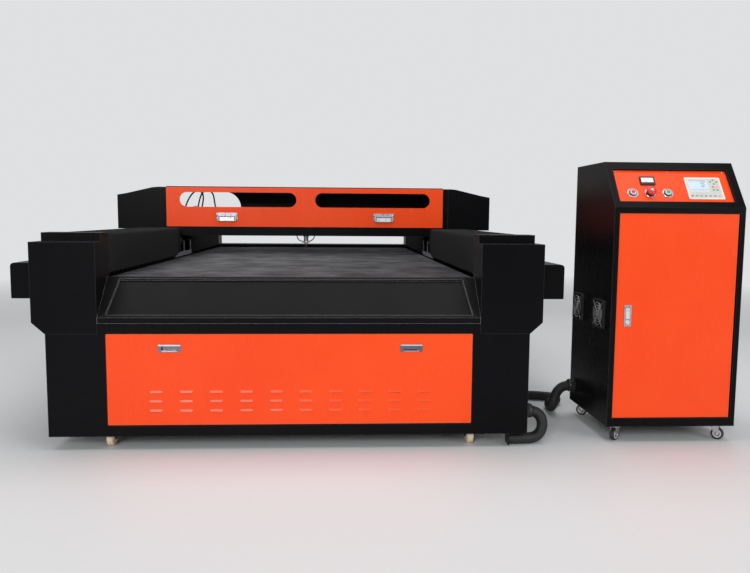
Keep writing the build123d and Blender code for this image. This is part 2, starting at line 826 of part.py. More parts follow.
# Hood over the gantry: folded and welded sheet, open below, with a pod at each end, and a
# separate back sheet with a long slot
frame_plate = 6.0
cover_seat_z = (cover_z + cover_seat_foot, hood_top_z - cover_seat_head)
with BuildPart() as gantry_hood:
    with BuildSketch(facing(hood_front)):
        half = [(cover_width / 2, hood_skirt_z), (cover_width / 2, pod_z), (pod_out, pod_z)]
        half += hood_roof(0)[::-1]
        outline(half + [(-x, z) for x, z in half[::-1]])
    extrude(amount=-(gantry_back - hood_front))
    with BuildSketch(facing(gantry_front)):
        roof = hood_roof(0)
        outline([
            (pod_start, pod_z),
            (pod_out, pod_z),
            *roof[::-1],
            (pod_start, hood_top_z),
        ])
        mirror(about=Plane.YZ)
    extrude(amount=-pod_step)
    with BuildSketch(facing(gantry_front)):
        bellows_plates()
    extrude(amount=-frame_plate)
    with BuildSketch(facing(hood_front + sheet)):
        inner_roof = hood_roof(sheet)
        outline([
            (-(pod_out - sheet), hood_skirt_z - 1),
            (pod_out - sheet, hood_skirt_z - 1),
            *inner_roof[::-1],
            *[(-x, z) for x, z in inner_roof],
        ])
    extrude(amount=-(gantry_back - hood_front), mode=Mode.SUBTRACT)
    with BuildSketch(facing(gantry_front - 1, 0, sum(cover_seat_z) / 2)):
        Rectangle(cover_width - 2 * cover_seat_side, cover_seat_z[1] - cover_seat_z[0])
    extrude(amount=-(pod_step + sheet + 2), mode=Mode.SUBTRACT)
    with BuildSketch(facing(gantry_back - sheet)):
        half = [(cover_width / 2, hood_skirt_z), (cover_width / 2, pod_z), (pod_out - sheet - gap, pod_z)]
        half += hood_roof(sheet + gap)[::-1]
        outline(half + [(-x, z) for x, z in half[::-1]])
        bellows_plates()
        with Locations((rear_slot_x, rear_slot_z)):
            SlotOverall(rear_slot_length, rear_slot_height, mode=Mode.SUBTRACT)
    extrude(amount=-sheet)
    with BuildSketch(across(-cover_width / 2, hood_front + 2.5, hood_top_z + 2)):
        Circle(2.5)
    extrude(amount=cover_width)
gantry_hood.part.label = "gantry_hood"
export_step(gantry_hood.part, "parts/gantry_hood.step")

# Front cover of the gantry: a flanged panel with two long windows, hinged at its top edge
cover_top_z = hood_top_z - 0.6
cover_height = cover_top_z - cover_z
ear = 6.0
handle_rod = 3.0
ear_centre = handle_width / 2 + 7
with BuildPart() as gantry_cover:
    with BuildSketch(facing(gantry_front, 0, cover_z + cover_height / 2)):
        Rectangle(cover_width, cover_height)
    extrude(amount=-cover_depth)
    with BuildSketch(facing(gantry_front + sheet, 0, cover_z + cover_height / 2)):
        Rectangle(cover_width - 2 * sheet, cover_height - 2 * sheet)
    extrude(amount=-cover_depth, mode=Mode.SUBTRACT)
    with BuildSketch(facing(gantry_front)):
        with Locations((-window_x, window_z), (window_x, window_z)):
            SlotOverall(window_length, window_height)
    extrude(amount=-cover_depth, mode=Mode.SUBTRACT)
    for x in (-handle_x, handle_x):
        for ear_x in (x - ear_centre, x + ear_centre):
            with BuildSketch(across(ear_x - ear / 2, gantry_front - 8, handle_z)):
                Circle(6)
                with Locations((4, 0)):
                    Rectangle(8, 12)
                Circle(handle_rod + running, mode=Mode.SUBTRACT)
            extrude(amount=ear)
gantry_cover.part.label = "gantry_cover"
export_step(gantry_cover.part, "parts/gantry_cover.step")

# Folding bail handles of the cover: a bent rod in the ears, with a thicker grip
for name, x in (("left", -handle_x), ("right", handle_x)):
    with BuildPart() as cover_handle:
        with BuildLine(facing(gantry_front - 8, x, handle_z)) as bail:
            reach = ear_centre + ear / 2
            half = handle_width / 2
            FilletPolyline(
                (-reach, 0), (-half, 0), (-half, -handle_drop), (half, -handle_drop), (half, 0), (reach, 0),
                radius=handle_rod + 1,
            )
        with BuildSketch(Plane(origin=bail.line @ 0, z_dir=bail.line % 0)):
            Circle(handle_rod)
        sweep()
        with BuildSketch(across(x - half + 12, gantry_front - 8, handle_z - handle_drop)):
            Circle(5.5)
        extrude(amount=2 * (half - 12))
    cover_handle.part.label = f"cover_handle_{name}"
    export_step(cover_handle.part, f"parts/cover_handle_{name}.step")

# Cross rail, drive belt, pulleys and motors on the gantry
rail_z = 869.5
rail_half_height = 7.5
rail_depth = 12.0
cross_half = saddle_in - 20
belt_z = 936.0
belt_half = saddle_in + 10
belt_radius = 15.0
belt_y = gantry_beam_y - 24
belt_width = 12.0
beam_top_z = gantry_beam_z + gantry_beam_height
with BuildPart() as cross_drive:
    block(
        (-cross_half, cross_half),
        (gantry_beam_y - rail_depth, gantry_beam_y),
        (rail_z - rail_half_height, rail_z + rail_half_height),
    )
    with BuildSketch(facing(belt_y, 0, belt_z)):
        SlotOverall(2 * (belt_half + belt_radius), 2 * belt_radius)
        SlotOverall(2 * (belt_half + belt_radius - 2), 2 * (belt_radius - 2), mode=Mode.SUBTRACT)
    extrude(amount=-belt_width)
    with BuildSketch(facing(belt_y - 1)):
        with Locations((-belt_half, belt_z), (belt_half, belt_z)):
            Circle(belt_radius - 2 - gap)
    extrude(amount=-(belt_width + 2))
    with BuildSketch(facing(belt_y + belt_width)):
        with Locations((-belt_half, belt_z), (belt_half, belt_z)):
            Circle(4)
    extrude(amount=-20)
    block(
        (-belt_half - 18, 18 - belt_half),
        (gantry_beam_y + 2, gantry_beam_y + 30),
        (beam_top_z, belt_z + 14),
    )
    block(
        (belt_half - 28.5, belt_half + 28.5),
        (gantry_beam_y + 2, gantry_beam_y + 78),
        (beam_top_z, beam_top_z + 57),
    )
    for side in (-1, 1):
        limits = sorted((side * (saddle_out - 60), side * (saddle_out - 3)))
        block(limits, (saddle_y[0] + 2, saddle_y[0] + 62), (saddle_top_z, saddle_top_z + 85))
cross_drive.part.label = "cross_drive"
export_step(cross_drive.part, "parts/cross_drive.step")

# Laser tube behind the beam, in two ring holders
laser_y = beam_back_y + 60
laser_z = 880.0
laser_radius = 40.0
neck_radius = 14.0
neck_length = 25.0
shoulder_length = 10.0
holder_x = 520.0
with BuildPart() as laser_tube:
    with BuildSketch(level(laser_z, 0, laser_y)):
        neck = cross_half - neck_length
        shoulder = neck - shoulder_length
        outline([
            (-cross_half, 0), (-cross_half, neck_radius), (-neck, neck_radius),
            (-shoulder, laser_radius), (shoulder, laser_radius),
            (neck, neck_radius), (cross_half, neck_radius), (cross_half, 0),
        ])
    revolve(axis=Axis((origin_x, origin_y + laser_y, laser_z), (1, 0, 0)))
    for x in (-holder_x, holder_x):
        with BuildSketch(across(x - 12, laser_y, laser_z)):
            Circle(laser_radius + 8)
            with Locations((-(laser_radius + 20) / 2, 0)):
                Rectangle(laser_radius + 20, 40)
            Circle(laser_radius + gap, mode=Mode.SUBTRACT)
        extrude(amount=24)
laser_tube.part.label = "laser_tube"
export_step(laser_tube.part, "parts/laser_tube.step")

# Laser head: carriage on the cross rail, focus slide with mirror housing and lens tube, nozzle
runner_half = 30.0
carriage_width = 110.0
carriage_height = 130.0
carriage_plate = 10.0
carriage_face = gantry_beam_y - 36
with BuildPart() as head_carriage:
    block(
        (-runner_half, runner_half),
        (carriage_face + carriage_plate, gantry_beam_y - 4),
        (rail_z - rail_half_height - 12, rail_z + rail_half_height + 12),
    )
    block(
        (-runner_half - 1, runner_half + 1),
        (gantry_beam_y - rail_depth - gap, gantry_beam_y),
        (rail_z - rail_half_height - gap, rail_z + rail_half_height + gap),
        mode=Mode.SUBTRACT,
    )
    with BuildSketch(facing(carriage_face, 0, mirror_z)):
        RectangleRounded(carriage_width, carriage_height, 8)
    extrude(amount=-carriage_plate)
head_carriage.part.label = "head_carriage"
export_step(head_carriage.part, "parts/head_carriage.step")

with BuildPart() as focus_slide:
    block((-mirror_half, mirror_half), (head_y + 17, carriage_face - gap), slide_z)
    block(
        (-mirror_half, mirror_half),
        (head_y - mirror_half, head_y + mirror_half),
        (mirror_z - mirror_half, mirror_z + mirror_half),
    )
    top_edge = focus_slide.edges().filter_by(Axis.X).sort_by(Axis.Y)[:2].sort_by(Axis.Z)[-1]
    chamfer(top_edge, 14)
    with BuildSketch(level(nozzle_z + nozzle_height, 0, head_y)):
        Circle(lens_radius)
    extrude(amount=mirror_z - mirror_half - nozzle_z - nozzle_height)
    with BuildSketch(level(lens_ring_z, 0, head_y)):
        Circle(lens_ring_radius)
    extrude(amount=15)
focus_slide.part.label = "focus_slide"
export_step(focus_slide.part, "parts/focus_slide.step")

with BuildPart() as nozzle:
    with BuildSketch(across(0, head_y, nozzle_z)):
        outline([(2, 0), (3.5, 0), (10, 15), (10, nozzle_height), (2, nozzle_height)])
    revolve(axis=Axis((origin_x, origin_y + head_y, nozzle_z), (0, 0, 1)))
nozzle.part.label = "nozzle"
export_step(nozzle.part, "parts/nozzle.step")


def tube_along(name, points, diameter):
    """Round tube along straight runs through the points, joined by tangent arcs."""
    path = [Vector(origin_x + x, origin_y + y, z) for x, y, z in points]
    radii = []
    for before, corner, after in zip(path, path[1:], path[2:]):
        arriving = corner - before
        leaving = after - corner
        half_turn = math.radians(arriving.get_angle(leaving)) / 2
        radii.append(bend_share * min(arriving.length, leaving.length) / math.tan(half_turn))
    with BuildLine() as route:
        FilletPolyline(*path, radius=radii)
    with BuildSketch(Plane(origin=route.line @ 0, z_dir=route.line % 0)) as section:
        Circle(diameter / 2)
    sweep(section.sketch, path=route.line)
    length = sum(edge.length for edge in route.edges())
    print(name, "length", round(length), "radii", [round(r) for r in radii])


# Hoses of the head: one on each side, from the mirror housing down to the lens tube
bend_share = 0.45
hose_diameter = 6.0
hose_left = [
    (-mirror_half, head_y, mirror_z), (-42, head_y, mirror_z), (-57, head_y - 3, 860),
    (-60, head_y - 4, 832), (-56, head_y - 4, 802), (-42, head_y, 775), (-lens_radius - gap, head_y, 770),
]
hose_right = [
    (mirror_half, head_y, mirror_z), (42, head_y, mirror_z), (56, head_y + 2, 861),
    (58, head_y + 3, 834), (52, head_y + 3, 804), (39, head_y, 778), (lens_radius + gap, head_y, 771),
]
with BuildPart() as head_hose:
    tube_along("head_hose_left", hose_left, hose_diameter)
    tube_along("head_hose_right", hose_right, hose_diameter)
head_hose.part.label = "head_hose"
export_step(head_hose.part, "parts/head_hose.step")

# Cables behind the left window: loops that stand on the beam, each set by its foot's distance
# from the saddle's inner edge and from the beam's front, and by how far it turns
wide_loop = [
    (0, 0), (0, 47), (13, 94), (36, 136), (58, 161), (80, 171), (103, 165), (117, 146),
    (117, 113), (109, 72), (100, 36), (100, 0),
]
tall_loop = [
    (0, 0), (0, 47), (8, 95), (20, 139), (36, 164), (60, 173), (84, 165), (98, 142),
    (103, 101), (110, 62), (120, 30), (120, 0),
]
low_loop = [(0, 0), (0, 28), (4, 58), (14.3, 70.7), (29.9, 75.5), (45.5, 70.7), (55.8, 58), (60, 28), (60, 0)]
cable_runs = (
    ("gantry_cable_wide", wide_loop, 28, 70, -0.10, 9.0),
    ("gantry_cable_tall", tall_loop, 112, 42, 0.05, 9.0),
    ("gantry_hose_low", low_loop, 62, 92, 0.0, 7.0),
)
with BuildPart() as gantry_cables:
    for name, loop, inset, back, lean, diameter in cable_runs:
        foot = (inset - saddle_in, gantry_beam_y + back)
        lifted = [(foot[0] + u, foot[1] + u * lean, beam_top_z + v) for u, v in loop]
        tube_along(name, lifted, diameter)
gantry_cables.part.label = "gantry_cables"
export_step(gantry_cables.part, "parts/gantry_cables.step")

# Control cabinet shell: folded body with door, console and fan openings, glands and caster plates
cabinet_out = cabinet_x + cabinet_width
cabinet_back = cabinet_y + cabinet_depth
door_opening = (
    cabinet_x + cabinet_door_inset - door_slack,
    cabinet_out - cabinet_door_inset + cabinet_hinge_slack,
)
door_opening_z = (
    cabinet_door_z - door_slack,
    cabinet_door_z + cabinet_door_height + door_slack,
)
slope_rise = cabinet_top_z - cabinet_slope_z
console_normal = Vector(0, -slope_rise, cabinet_setback).normalized()
console_plane = Plane(
    origin=(origin_x + cabinet_x, origin_y + cabinet_y, cabinet_slope_z),
    x_dir=(1, 0, 0),
    z_dir=console_normal,
)
console_width = cabinet_width - 2 * console_side - 7
console_mid = (console_side + console_width / 2, console_foot + console_length / 2)
wall = 2.5
pin_x = cabinet_out - cabinet_door_inset - cabinet_hinge_inset
pin_y = cabinet_y + cabinet_door_recess + cabinet_hinge_inset
pin_radius = 4.0
cabinet_gland_y = 474.0
cabinet_gland_z = 146.0
caster_plate = 3.0
kingpin_radius = 6.0
cabinet_side = [
    (cabinet_y, cabinet_z),
    (cabinet_back, cabinet_z),
    (cabinet_back, cabinet_top_z),
    (cabinet_y + cabinet_setback, cabinet_top_z),
    (cabinet_y, cabinet_slope_z),
]
caster_places = [
    ("front_left", cabinet_x + caster_inset, cabinet_y + caster_inset_y, 225.0),
    ("front_right", cabinet_out - caster_inset, cabinet_y + caster_inset_y, -40.0),
    ("rear_left", cabinet_x + caster_inset, cabinet_back - caster_inset_y, 150.0),
    ("rear_right", cabinet_out - caster_inset, cabinet_back - caster_inset_y, 20.0),
]
with BuildPart() as cabinet_shell:
    with BuildSketch(across(cabinet_x)):
        outline(cabinet_side)
    extrude(amount=cabinet_width)
    with BuildSketch(across(cabinet_x + wall)):
        outline(cabinet_side)
        offset(amount=-wall, kind=Kind.INTERSECTION, mode=Mode.REPLACE)
    extrude(amount=cabinet_width - 2 * wall, mode=Mode.SUBTRACT)
    with BuildSketch(console_plane):
        with Locations(console_mid):
            Rectangle(console_width + 2 * wall, console_length + 2 * wall)
    extrude(amount=-console_recess)
    with BuildSketch(console_plane):
        with Locations(console_mid):
            Rectangle(console_width, console_length)
    extrude(amount=-(console_recess + 2), mode=Mode.SUBTRACT)
    door_mid = (sum(door_opening) / 2, sum(door_opening_z) / 2)
    door_size = (door_opening[1] - door_opening[0], door_opening_z[1] - door_opening_z[0])
    with BuildSketch(facing(cabinet_y, *door_mid)):
        Rectangle(door_size[0] + 2 * wall, door_size[1] + 2 * wall)
    extrude(amount=-26)
    with BuildSketch(facing(cabinet_y - 1, *door_mid)):
        Rectangle(*door_size)
    extrude(amount=-30, mode=Mode.SUBTRACT)
    for z, length in ((door_opening_z[0], 6), (door_opening_z[1], -6)):
        with BuildSketch(level(z, pin_x, pin_y)):
            Circle(pin_radius)
        extrude(amount=length)
    for y in fan_y:
        with BuildSketch(across(cabinet_x - fan_guard, y, fan_z)):
            RectangleRounded(fan_size, fan_size, 6)
        extrude(amount=fan_guard + fan_depth)
        with BuildSketch(across(cabinet_x + wall, y, fan_z)):
            Circle(fan_bore)
        extrude(amount=fan_depth, mode=Mode.SUBTRACT)
        with BuildSketch(across(cabinet_x - fan_guard, y, fan_z)):
            for outer, inner in ((fan_bore, 46), (43, 33), (30, 20)):
                Circle(outer)
                Circle(inner, mode=Mode.SUBTRACT)
            Rectangle(fan_size, 4, rotation=45, mode=Mode.SUBTRACT)
            Rectangle(fan_size, 4, rotation=-45, mode=Mode.SUBTRACT)
        extrude(amount=fan_guard + wall, mode=Mode.SUBTRACT)
        with BuildSketch(across(cabinet_x + fan_depth - 3, y, fan_z)):
            Circle(18)
            Rectangle(fan_size - 4, 8)
            Rectangle(8, fan_size - 4)
        extrude(amount=3)
        with BuildSketch(across(cabinet_x + fan_depth - 3, y, fan_z)):
            Circle(fan_pin_radius)
        extrude(amount=-16)
    with BuildSketch(across(cabinet_x, cabinet_gland_y, cabinet_gland_z)):
        Circle(gland_radius)
    extrude(amount=-gland_length)
    for _, x, y, _ in caster_places:
        block((x - 30, x + 30), (y - 30, y + 30), (cabinet_z - caster_plate, cabinet_z))
        with BuildSketch(level(cabinet_z - caster_plate, x, y)):
            Circle(kingpin_radius)
        extrude(amount=-11)
cabinet_shell.part.label = "cabinet_shell"
export_step(cabinet_shell.part, "parts/cabinet_shell.step")

# Casters: the fork swivels on a kingpin and trails its wheel
fork_top_z = cabinet_z - caster_plate - gap
fork_plate = 8.0
axle_radius = 4.0
for name, x, y, angle in caster_places:
    turn = math.radians(angle)
    ahead = Vector(math.cos(turn), math.sin(turn), 0)
    beside = Vector(-math.sin(turn), math.cos(turn), 0)
    pivot = Vector(origin_x + x, origin_y + y, 0)
    axle = pivot + ahead * caster_trail + Vector(0, 0, caster_wheel_radius)
    inside = caster_wheel_width / 2 + 1
    with BuildPart() as caster_fork:
        with BuildSketch(Plane(origin=pivot + Vector(0, 0, fork_top_z), x_dir=ahead, z_dir=(0, 0, 1))):
            Circle(20)
            with Locations((8, 0)):
                Rectangle(30, 2 * (inside + 2.5))
            Circle(kingpin_radius + running, mode=Mode.SUBTRACT)
        extrude(amount=-fork_plate)
        for side in (-1, 1):
            cheek = pivot + beside * (side * inside) + Vector(0, 0, 0)
            cheek_plane = Plane(origin=cheek, x_dir=ahead, z_dir=-beside)
            with BuildSketch(cheek_plane):
                outline([
                    (-12, fork_top_z - fork_plate / 2), (23, fork_top_z - fork_plate / 2),
                    (caster_trail + 8, caster_wheel_radius), (caster_trail - 8, caster_wheel_radius - 2),
                ])
                with Locations((caster_trail, caster_wheel_radius)):
                    Circle(8)
            extrude(amount=-side * 2.5)
        with BuildSketch(Plane(origin=axle, x_dir=ahead, z_dir=beside)):
            Circle(axle_radius)
        extrude(amount=inside + 4, both=True)
    caster_fork.part.label = f"caster_fork_{name}"
    export_step(caster_fork.part, f"parts/caster_fork_{name}.step")
    with BuildPart() as caster_wheel:
        half = caster_wheel_width / 2
        with BuildSketch(Plane(origin=axle, x_dir=beside, z_dir=(0, 0, 1))):
            outline([
                (-half, axle_radius + running), (-half, 9), (3 - half, 10),
                (3 - half, caster_wheel_radius - 8), (0.5 - half, caster_wheel_radius - 7),
                (0.5 - half, caster_wheel_radius - 3), (3.5 - half, caster_wheel_radius),
                (half - 3.5, caster_wheel_radius), (half - 0.5, caster_wheel_radius - 3),
                (half - 0.5, caster_wheel_radius - 7), (half - 3, caster_wheel_radius - 8),
                (half - 3, 10), (half, 9), (half, axle_radius + running),
            ])
        revolve(axis=Axis(axle, beside))
    caster_wheel.part.label = f"caster_wheel_{name}"
    export_step(caster_wheel.part, f"parts/caster_wheel_{name}.step")

# Cabinet door: a pan on two pins at its right edge, with the lock's cut-out
cabinet_door_x = (cabinet_x + cabinet_door_inset, cabinet_out - cabinet_door_inset)
lock_x = cabinet_door_x[0] + 47
lock_z = 530.0
lock_width = 30.0
lock_height = 88.0
door_face_y = cabinet_y + cabinet_door_recess
cabinet_door_width = cabinet_door_x[1] - cabinet_door_x[0]
with BuildPart() as cabinet_door:
    middle = (sum(cabinet_door_x) / 2, cabinet_door_z + cabinet_door_height / 2)
    with BuildSketch(facing(door_face_y, *middle)):
        Rectangle(cabinet_door_width, cabinet_door_height)
    extrude(amount=-door_flange)
    with BuildSketch(facing(door_face_y + sheet, *middle)):
        Rectangle(cabinet_door_width - 2 * sheet, cabinet_door_height - 2 * sheet)
    extrude(amount=-door_flange, mode=Mode.SUBTRACT)
    with BuildSketch(level(cabinet_door_z - 1, pin_x, pin_y)):
        Circle(pin_radius + running)
    extrude(amount=cabinet_door_height + 2, mode=Mode.SUBTRACT)
    with BuildSketch(facing(door_face_y, lock_x, lock_z)):
        Rectangle(lock_width - 6, lock_height - 6)
    extrude(amount=-door_flange, mode=Mode.SUBTRACT)
cabinet_door.part.label = "cabinet_door"
export_step(cabinet_door.part, "parts/cabinet_door.step")

# Plane lock: body in the door, flip-out lever above, round release button below
lock_plate = 3.0
lock_body = 16.0
lever_width = 16.0
lever_length = 50.0
lever_top_z = lock_z + 36
lever_pin_radius = 2.0
button_z = lock_z - 27
lock_button_radius = 9.0
with BuildPart() as door_lock:
    with BuildSketch(facing(door_face_y, lock_x, lock_z)):
        RectangleRounded(lock_width, lock_height, 3)
    extrude(amount=lock_plate)
    with BuildSketch(facing(door_face_y, lock_x, lock_z)):
        RectangleRounded(lock_width - 7, lock_height - 7, 2)
    extrude(amount=-lock_body)
    with BuildSketch(facing(door_face_y - lock_plate, lock_x, lever_top_z - lever_length / 2)):
        Rectangle(lever_width + 1, lever_length + 1)
    extrude(amount=-(lock_plate + 8), mode=Mode.SUBTRACT)
    with BuildSketch(facing(door_face_y - lock_plate, lock_x, button_z)):
        Circle(lock_button_radius + running)
    extrude(amount=-(lock_plate + 10), mode=Mode.SUBTRACT)
    for side in (-1, 1):
        with BuildSketch(across(lock_x + side * (lever_width / 2 + 1), door_face_y + 2, lever_top_z - 5)):
            Circle(lever_pin_radius)
        extrude(amount=-side * 4)
door_lock.part.label = "door_lock"
export_step(door_lock.part, "parts/door_lock.step")

with BuildPart() as lock_lever:
    with BuildSketch(across(lock_x - lever_width / 2, door_face_y, lever_top_z)):
        outline([
            (-4, -4), (0, -1), (2, 0), (5, 0), (5, -10), (2, -12),
            (2, 0.5 - lever_length), (-4, 0.5 - lever_length),
        ])
    extrude(amount=lever_width)
    with BuildSketch(across(lock_x - lever_width / 2 - 1, door_face_y + 2, lever_top_z - 5)):
        Circle(lever_pin_radius + running)
    extrude(amount=lever_width + 2, mode=Mode.SUBTRACT)
lock_lever.part.label = "lock_lever"
export_step(lock_lever.part, "parts/lock_lever.step")

with BuildPart() as lock_button:
    with BuildSketch(facing(door_face_y - lock_plate - 2, lock_x, button_z)):
        Circle(lock_button_radius)
    extrude(amount=-10)
    chamfer(lock_button.faces().sort_by(Axis.Y)[0].edges(), 1)
lock_button.part.label = "lock_button"
export_step(lock_button.part, "parts/lock_button.step")

# Fan rotors: a hub with seven blades, on the pin of each fan frame
rotor_x = cabinet_x + wall + 4
rotor_length = 15.0
hub_radius = 20.0
blade_tip = 52.0
blade_width = 16.0
blade_count = 7
for name, y in zip(("front", "rear"), fan_y):
    with BuildPart() as fan_rotor:
        with BuildSketch(across(rotor_x, y, fan_z)):
            Circle(hub_radius)
        extrude(amount=rotor_length)
        hub = across(rotor_x + rotor_length / 2, y, fan_z)
        for number in range(blade_count):
            angle = 2 * math.pi * number / blade_count
            outward = Vector(0, math.cos(angle), math.sin(angle))
            tilted = Plane(hub.origin, x_dir=outward, z_dir=hub.z_dir + hub.z_dir.cross(outward))
            with BuildSketch(tilted):
                with Locations(((hub_radius + blade_tip) / 2 - 2, 0)):
                    Rectangle(blade_tip - hub_radius + 4, blade_width)
            extrude(amount=1, both=True)
        with BuildSketch(across(rotor_x + rotor_length, y, fan_z)):
            Circle(fan_pin_radius + running)
        extrude(amount=-13, mode=Mode.SUBTRACT)
    fan_rotor.part.label = f"fan_rotor_{name}"
    export_step(fan_rotor.part, f"parts/fan_rotor_{name}.step")

# Electrics behind the door: a mounting plate on four stand-offs, a supply and the drives
plate_thickness = 3.0
standoff = 10.0
plate_y = cabinet_back - wall - standoff - plate_thickness
plate_size = (cabinet_width - 121, 640.0)
plate_mid = (cabinet_x + cabinet_width / 2, 520.0)
supply_size = (160.0, 240.0, 110.0)
drive_size = (34.0, 140.0, 90.0)
drive_pitch = 52.0
rail_size = (plate_size[0] - 60, 30.0, 40.0)
with BuildPart() as electrics_plate:
    with BuildSketch(facing(plate_y, *plate_mid)):
        Rectangle(*plate_size)
    extrude(amount=-plate_thickness)
    with BuildSketch(facing(plate_y + plate_thickness, *plate_mid)):
        with GridLocations(plate_size[0] - 60, plate_size[1] - 60, 2, 2):
            Circle(6)
    extrude(amount=-standoff)
    with BuildSketch(facing(plate_y, plate_mid[0] - 90, plate_mid[1] + 160)):
        Rectangle(*supply_size[:2])
    extrude(amount=supply_size[2])
    with BuildSketch(facing(plate_y, plate_mid[0] + 100, plate_mid[1] + 170)):
        with GridLocations(drive_pitch, 1, 3, 1):
            Rectangle(*drive_size[:2])
    extrude(amount=drive_size[2])
    with BuildSketch(facing(plate_y, plate_mid[0], plate_mid[1] - 120)):
        Rectangle(*rail_size[:2])
    extrude(amount=rail_size[2])
electrics_plate.part.label = "electrics_plate"
export_step(electrics_plate.part, "parts/electrics_plate.step")

# Console: the sloping plate with the raised button collars
panel_face = console_plane.offset(-console_recess - gap)
collar_radius = 20.0
collar_rim = 1.5
collar_inner = 15.0
collar_height = 5.0
plunger_radius = 10.5
meter_place = (164.0, 141.0)
meter_size = (62.0, 42.0)
controller_place = (397.0, 106.0)
controller_size = (150.0, 112.0)
with BuildPart() as console_panel:
    with BuildSketch(panel_face):
        with Locations(console_mid):
            Rectangle(console_width + 4, console_length + 4)
    extrude(amount=-sheet)
    with BuildSketch(panel_face):
        with Locations([(x, button_line) for x in button_x]):
            Circle(collar_radius)
    extrude(amount=collar_rim)
    with BuildSketch(panel_face):
        with Locations([(x, button_line) for x in button_x]):
            Circle(collar_inner)
    extrude(amount=collar_height)
    with BuildSketch(panel_face.offset(collar_height)):
        with Locations([(x, button_line) for x in button_x]):
            Circle(plunger_radius + running)
    extrude(amount=-(collar_height + sheet), mode=Mode.SUBTRACT)
    with BuildSketch(panel_face):
        with Locations(meter_place):
            Rectangle(meter_size[0] - 6, meter_size[1] - 6)
        with Locations(controller_place):
            Rectangle(controller_size[0] - 14, controller_size[1] - 14)
    extrude(amount=-sheet, mode=Mode.SUBTRACT)
console_panel.part.label = "console_panel"
export_step(console_panel.part, "parts/console_panel.step")

# Push buttons: the green one starts, the red one stops
press_proud = 3.0
plunger_length = 24.0
for name, x in (("stop_button", button_x[0]), ("start_button", button_x[2])):
    with BuildPart() as push_button:
        with BuildSketch(panel_face.offset(collar_height + press_proud)):
            with Locations((x, button_line)):
                Circle(plunger_radius)
        extrude(amount=-plunger_length)
        cap_face = push_button.faces().sort_by(Axis(panel_face.origin, panel_face.z_dir))[-1]
        chamfer(cap_face.edges(), 1)
    push_button.part.label = name
    export_step(push_button.part, f"parts/{name}.step")

# Emergency stop: a mushroom head on its plunger
mushroom_radius = 20.0
mushroom_gap = 6.0
mushroom_height = 13.0
stop_axis = Plane(
    origin=panel_face.from_local_coords((button_x[1], button_line, collar_height + mushroom_gap)),
    x_dir=panel_face.x_dir,
    z_dir=-panel_face.y_dir,
)
with BuildPart() as emergency_stop:
    with BuildSketch(stop_axis):
        with BuildLine():
            Polyline(
                (8, mushroom_height), (0, mushroom_height), (0, -plunger_length),
                (plunger_radius, -plunger_length), (plunger_radius, 0), (mushroom_radius - 3, 0),
                (mushroom_radius, 4), (mushroom_radius, 7),
            )
            ThreePointArc((mushroom_radius, 7), (16, 11.2), (8, mushroom_height))
        make_face()
    revolve(axis=Axis(stop_axis.origin, panel_face.z_dir))
emergency_stop.part.label = "emergency_stop"
export_step(emergency_stop.part, "parts/emergency_stop.step")

# Ammeter and controller: bezels on the panel, bodies through it
with BuildPart() as ammeter:
    with BuildSketch(panel_face):
        with Locations(meter_place):
            RectangleRounded(*meter_size, 3)
    extrude(amount=6)
    with BuildSketch(panel_face.offset(6)):
        with Locations(meter_place):
            Rectangle(meter_size[0] - 10, meter_size[1] - 10)
    extrude(amount=-2, mode=Mode.SUBTRACT)
    with BuildSketch(panel_face):
        with Locations(meter_place):
            Rectangle(meter_size[0] - 8, meter_size[1] - 8)
    extrude(amount=-22)
ammeter.part.label = "ammeter"
export_step(ammeter.part, "parts/ammeter.step")

screen_place = (controller_place[0] - 22, controller_place[1] + 14)
with BuildPart() as controller:
    with BuildSketch(panel_face):
        with Locations(controller_place):
            RectangleRounded(*controller_size, 4)
    extrude(amount=2.5)
    with BuildSketch(panel_face.offset(2.5)):
        with Locations(screen_place):
            Rectangle(78, 56)
    extrude(amount=-1, mode=Mode.SUBTRACT)
    with BuildSketch(panel_face):
        with Locations(controller_place):
            Rectangle(controller_size[0] - 18, controller_size[1] - 18)
    extrude(amount=-26)
controller.part.label = "controller"
export_step(controller.part, "parts/controller.step")

# Ribbed conduits: each runs from a gland down to the floor and to a plate under the bed
near_points = [
    (body_out + gland_length, gland_y, gland_z), (996.4, gland_y, gland_z), (1026.4, 62, 104),
    (1026.4, 56, 54), (996.4, 50, floor_line), (938, near_socket[1], floor_line),
    (*near_socket, floor_line),
]
far_points = [
    (cabinet_x - gland_length, cabinet_gland_y, cabinet_gland_z),
    (1243, cabinet_gland_y, cabinet_gland_z), (1210, 476, 113), (1200, 484, 68), (1204, 514, 34),
    (1208, 566, floor_line), (1222, 630, floor_line), (1266, 664, floor_line),
    (1284, 714, floor_line), (1252, 756, floor_line), (1196, 778, floor_line),
    (1124, 786, floor_line), (1044, 782, floor_line), (972, far_socket[1], floor_line),
    (*far_socket, floor_line),
]
for name, points in (("conduit_near", near_points), ("conduit_far", far_points)):
    with BuildPart() as conduit:
        tube_along(name, points, conduit_diameter)
    conduit.part.label = name
    export_step(conduit.part, f"parts/{name}.step")
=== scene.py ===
import json
import math

import bmesh
import bpy
from mathutils import Matrix, Vector

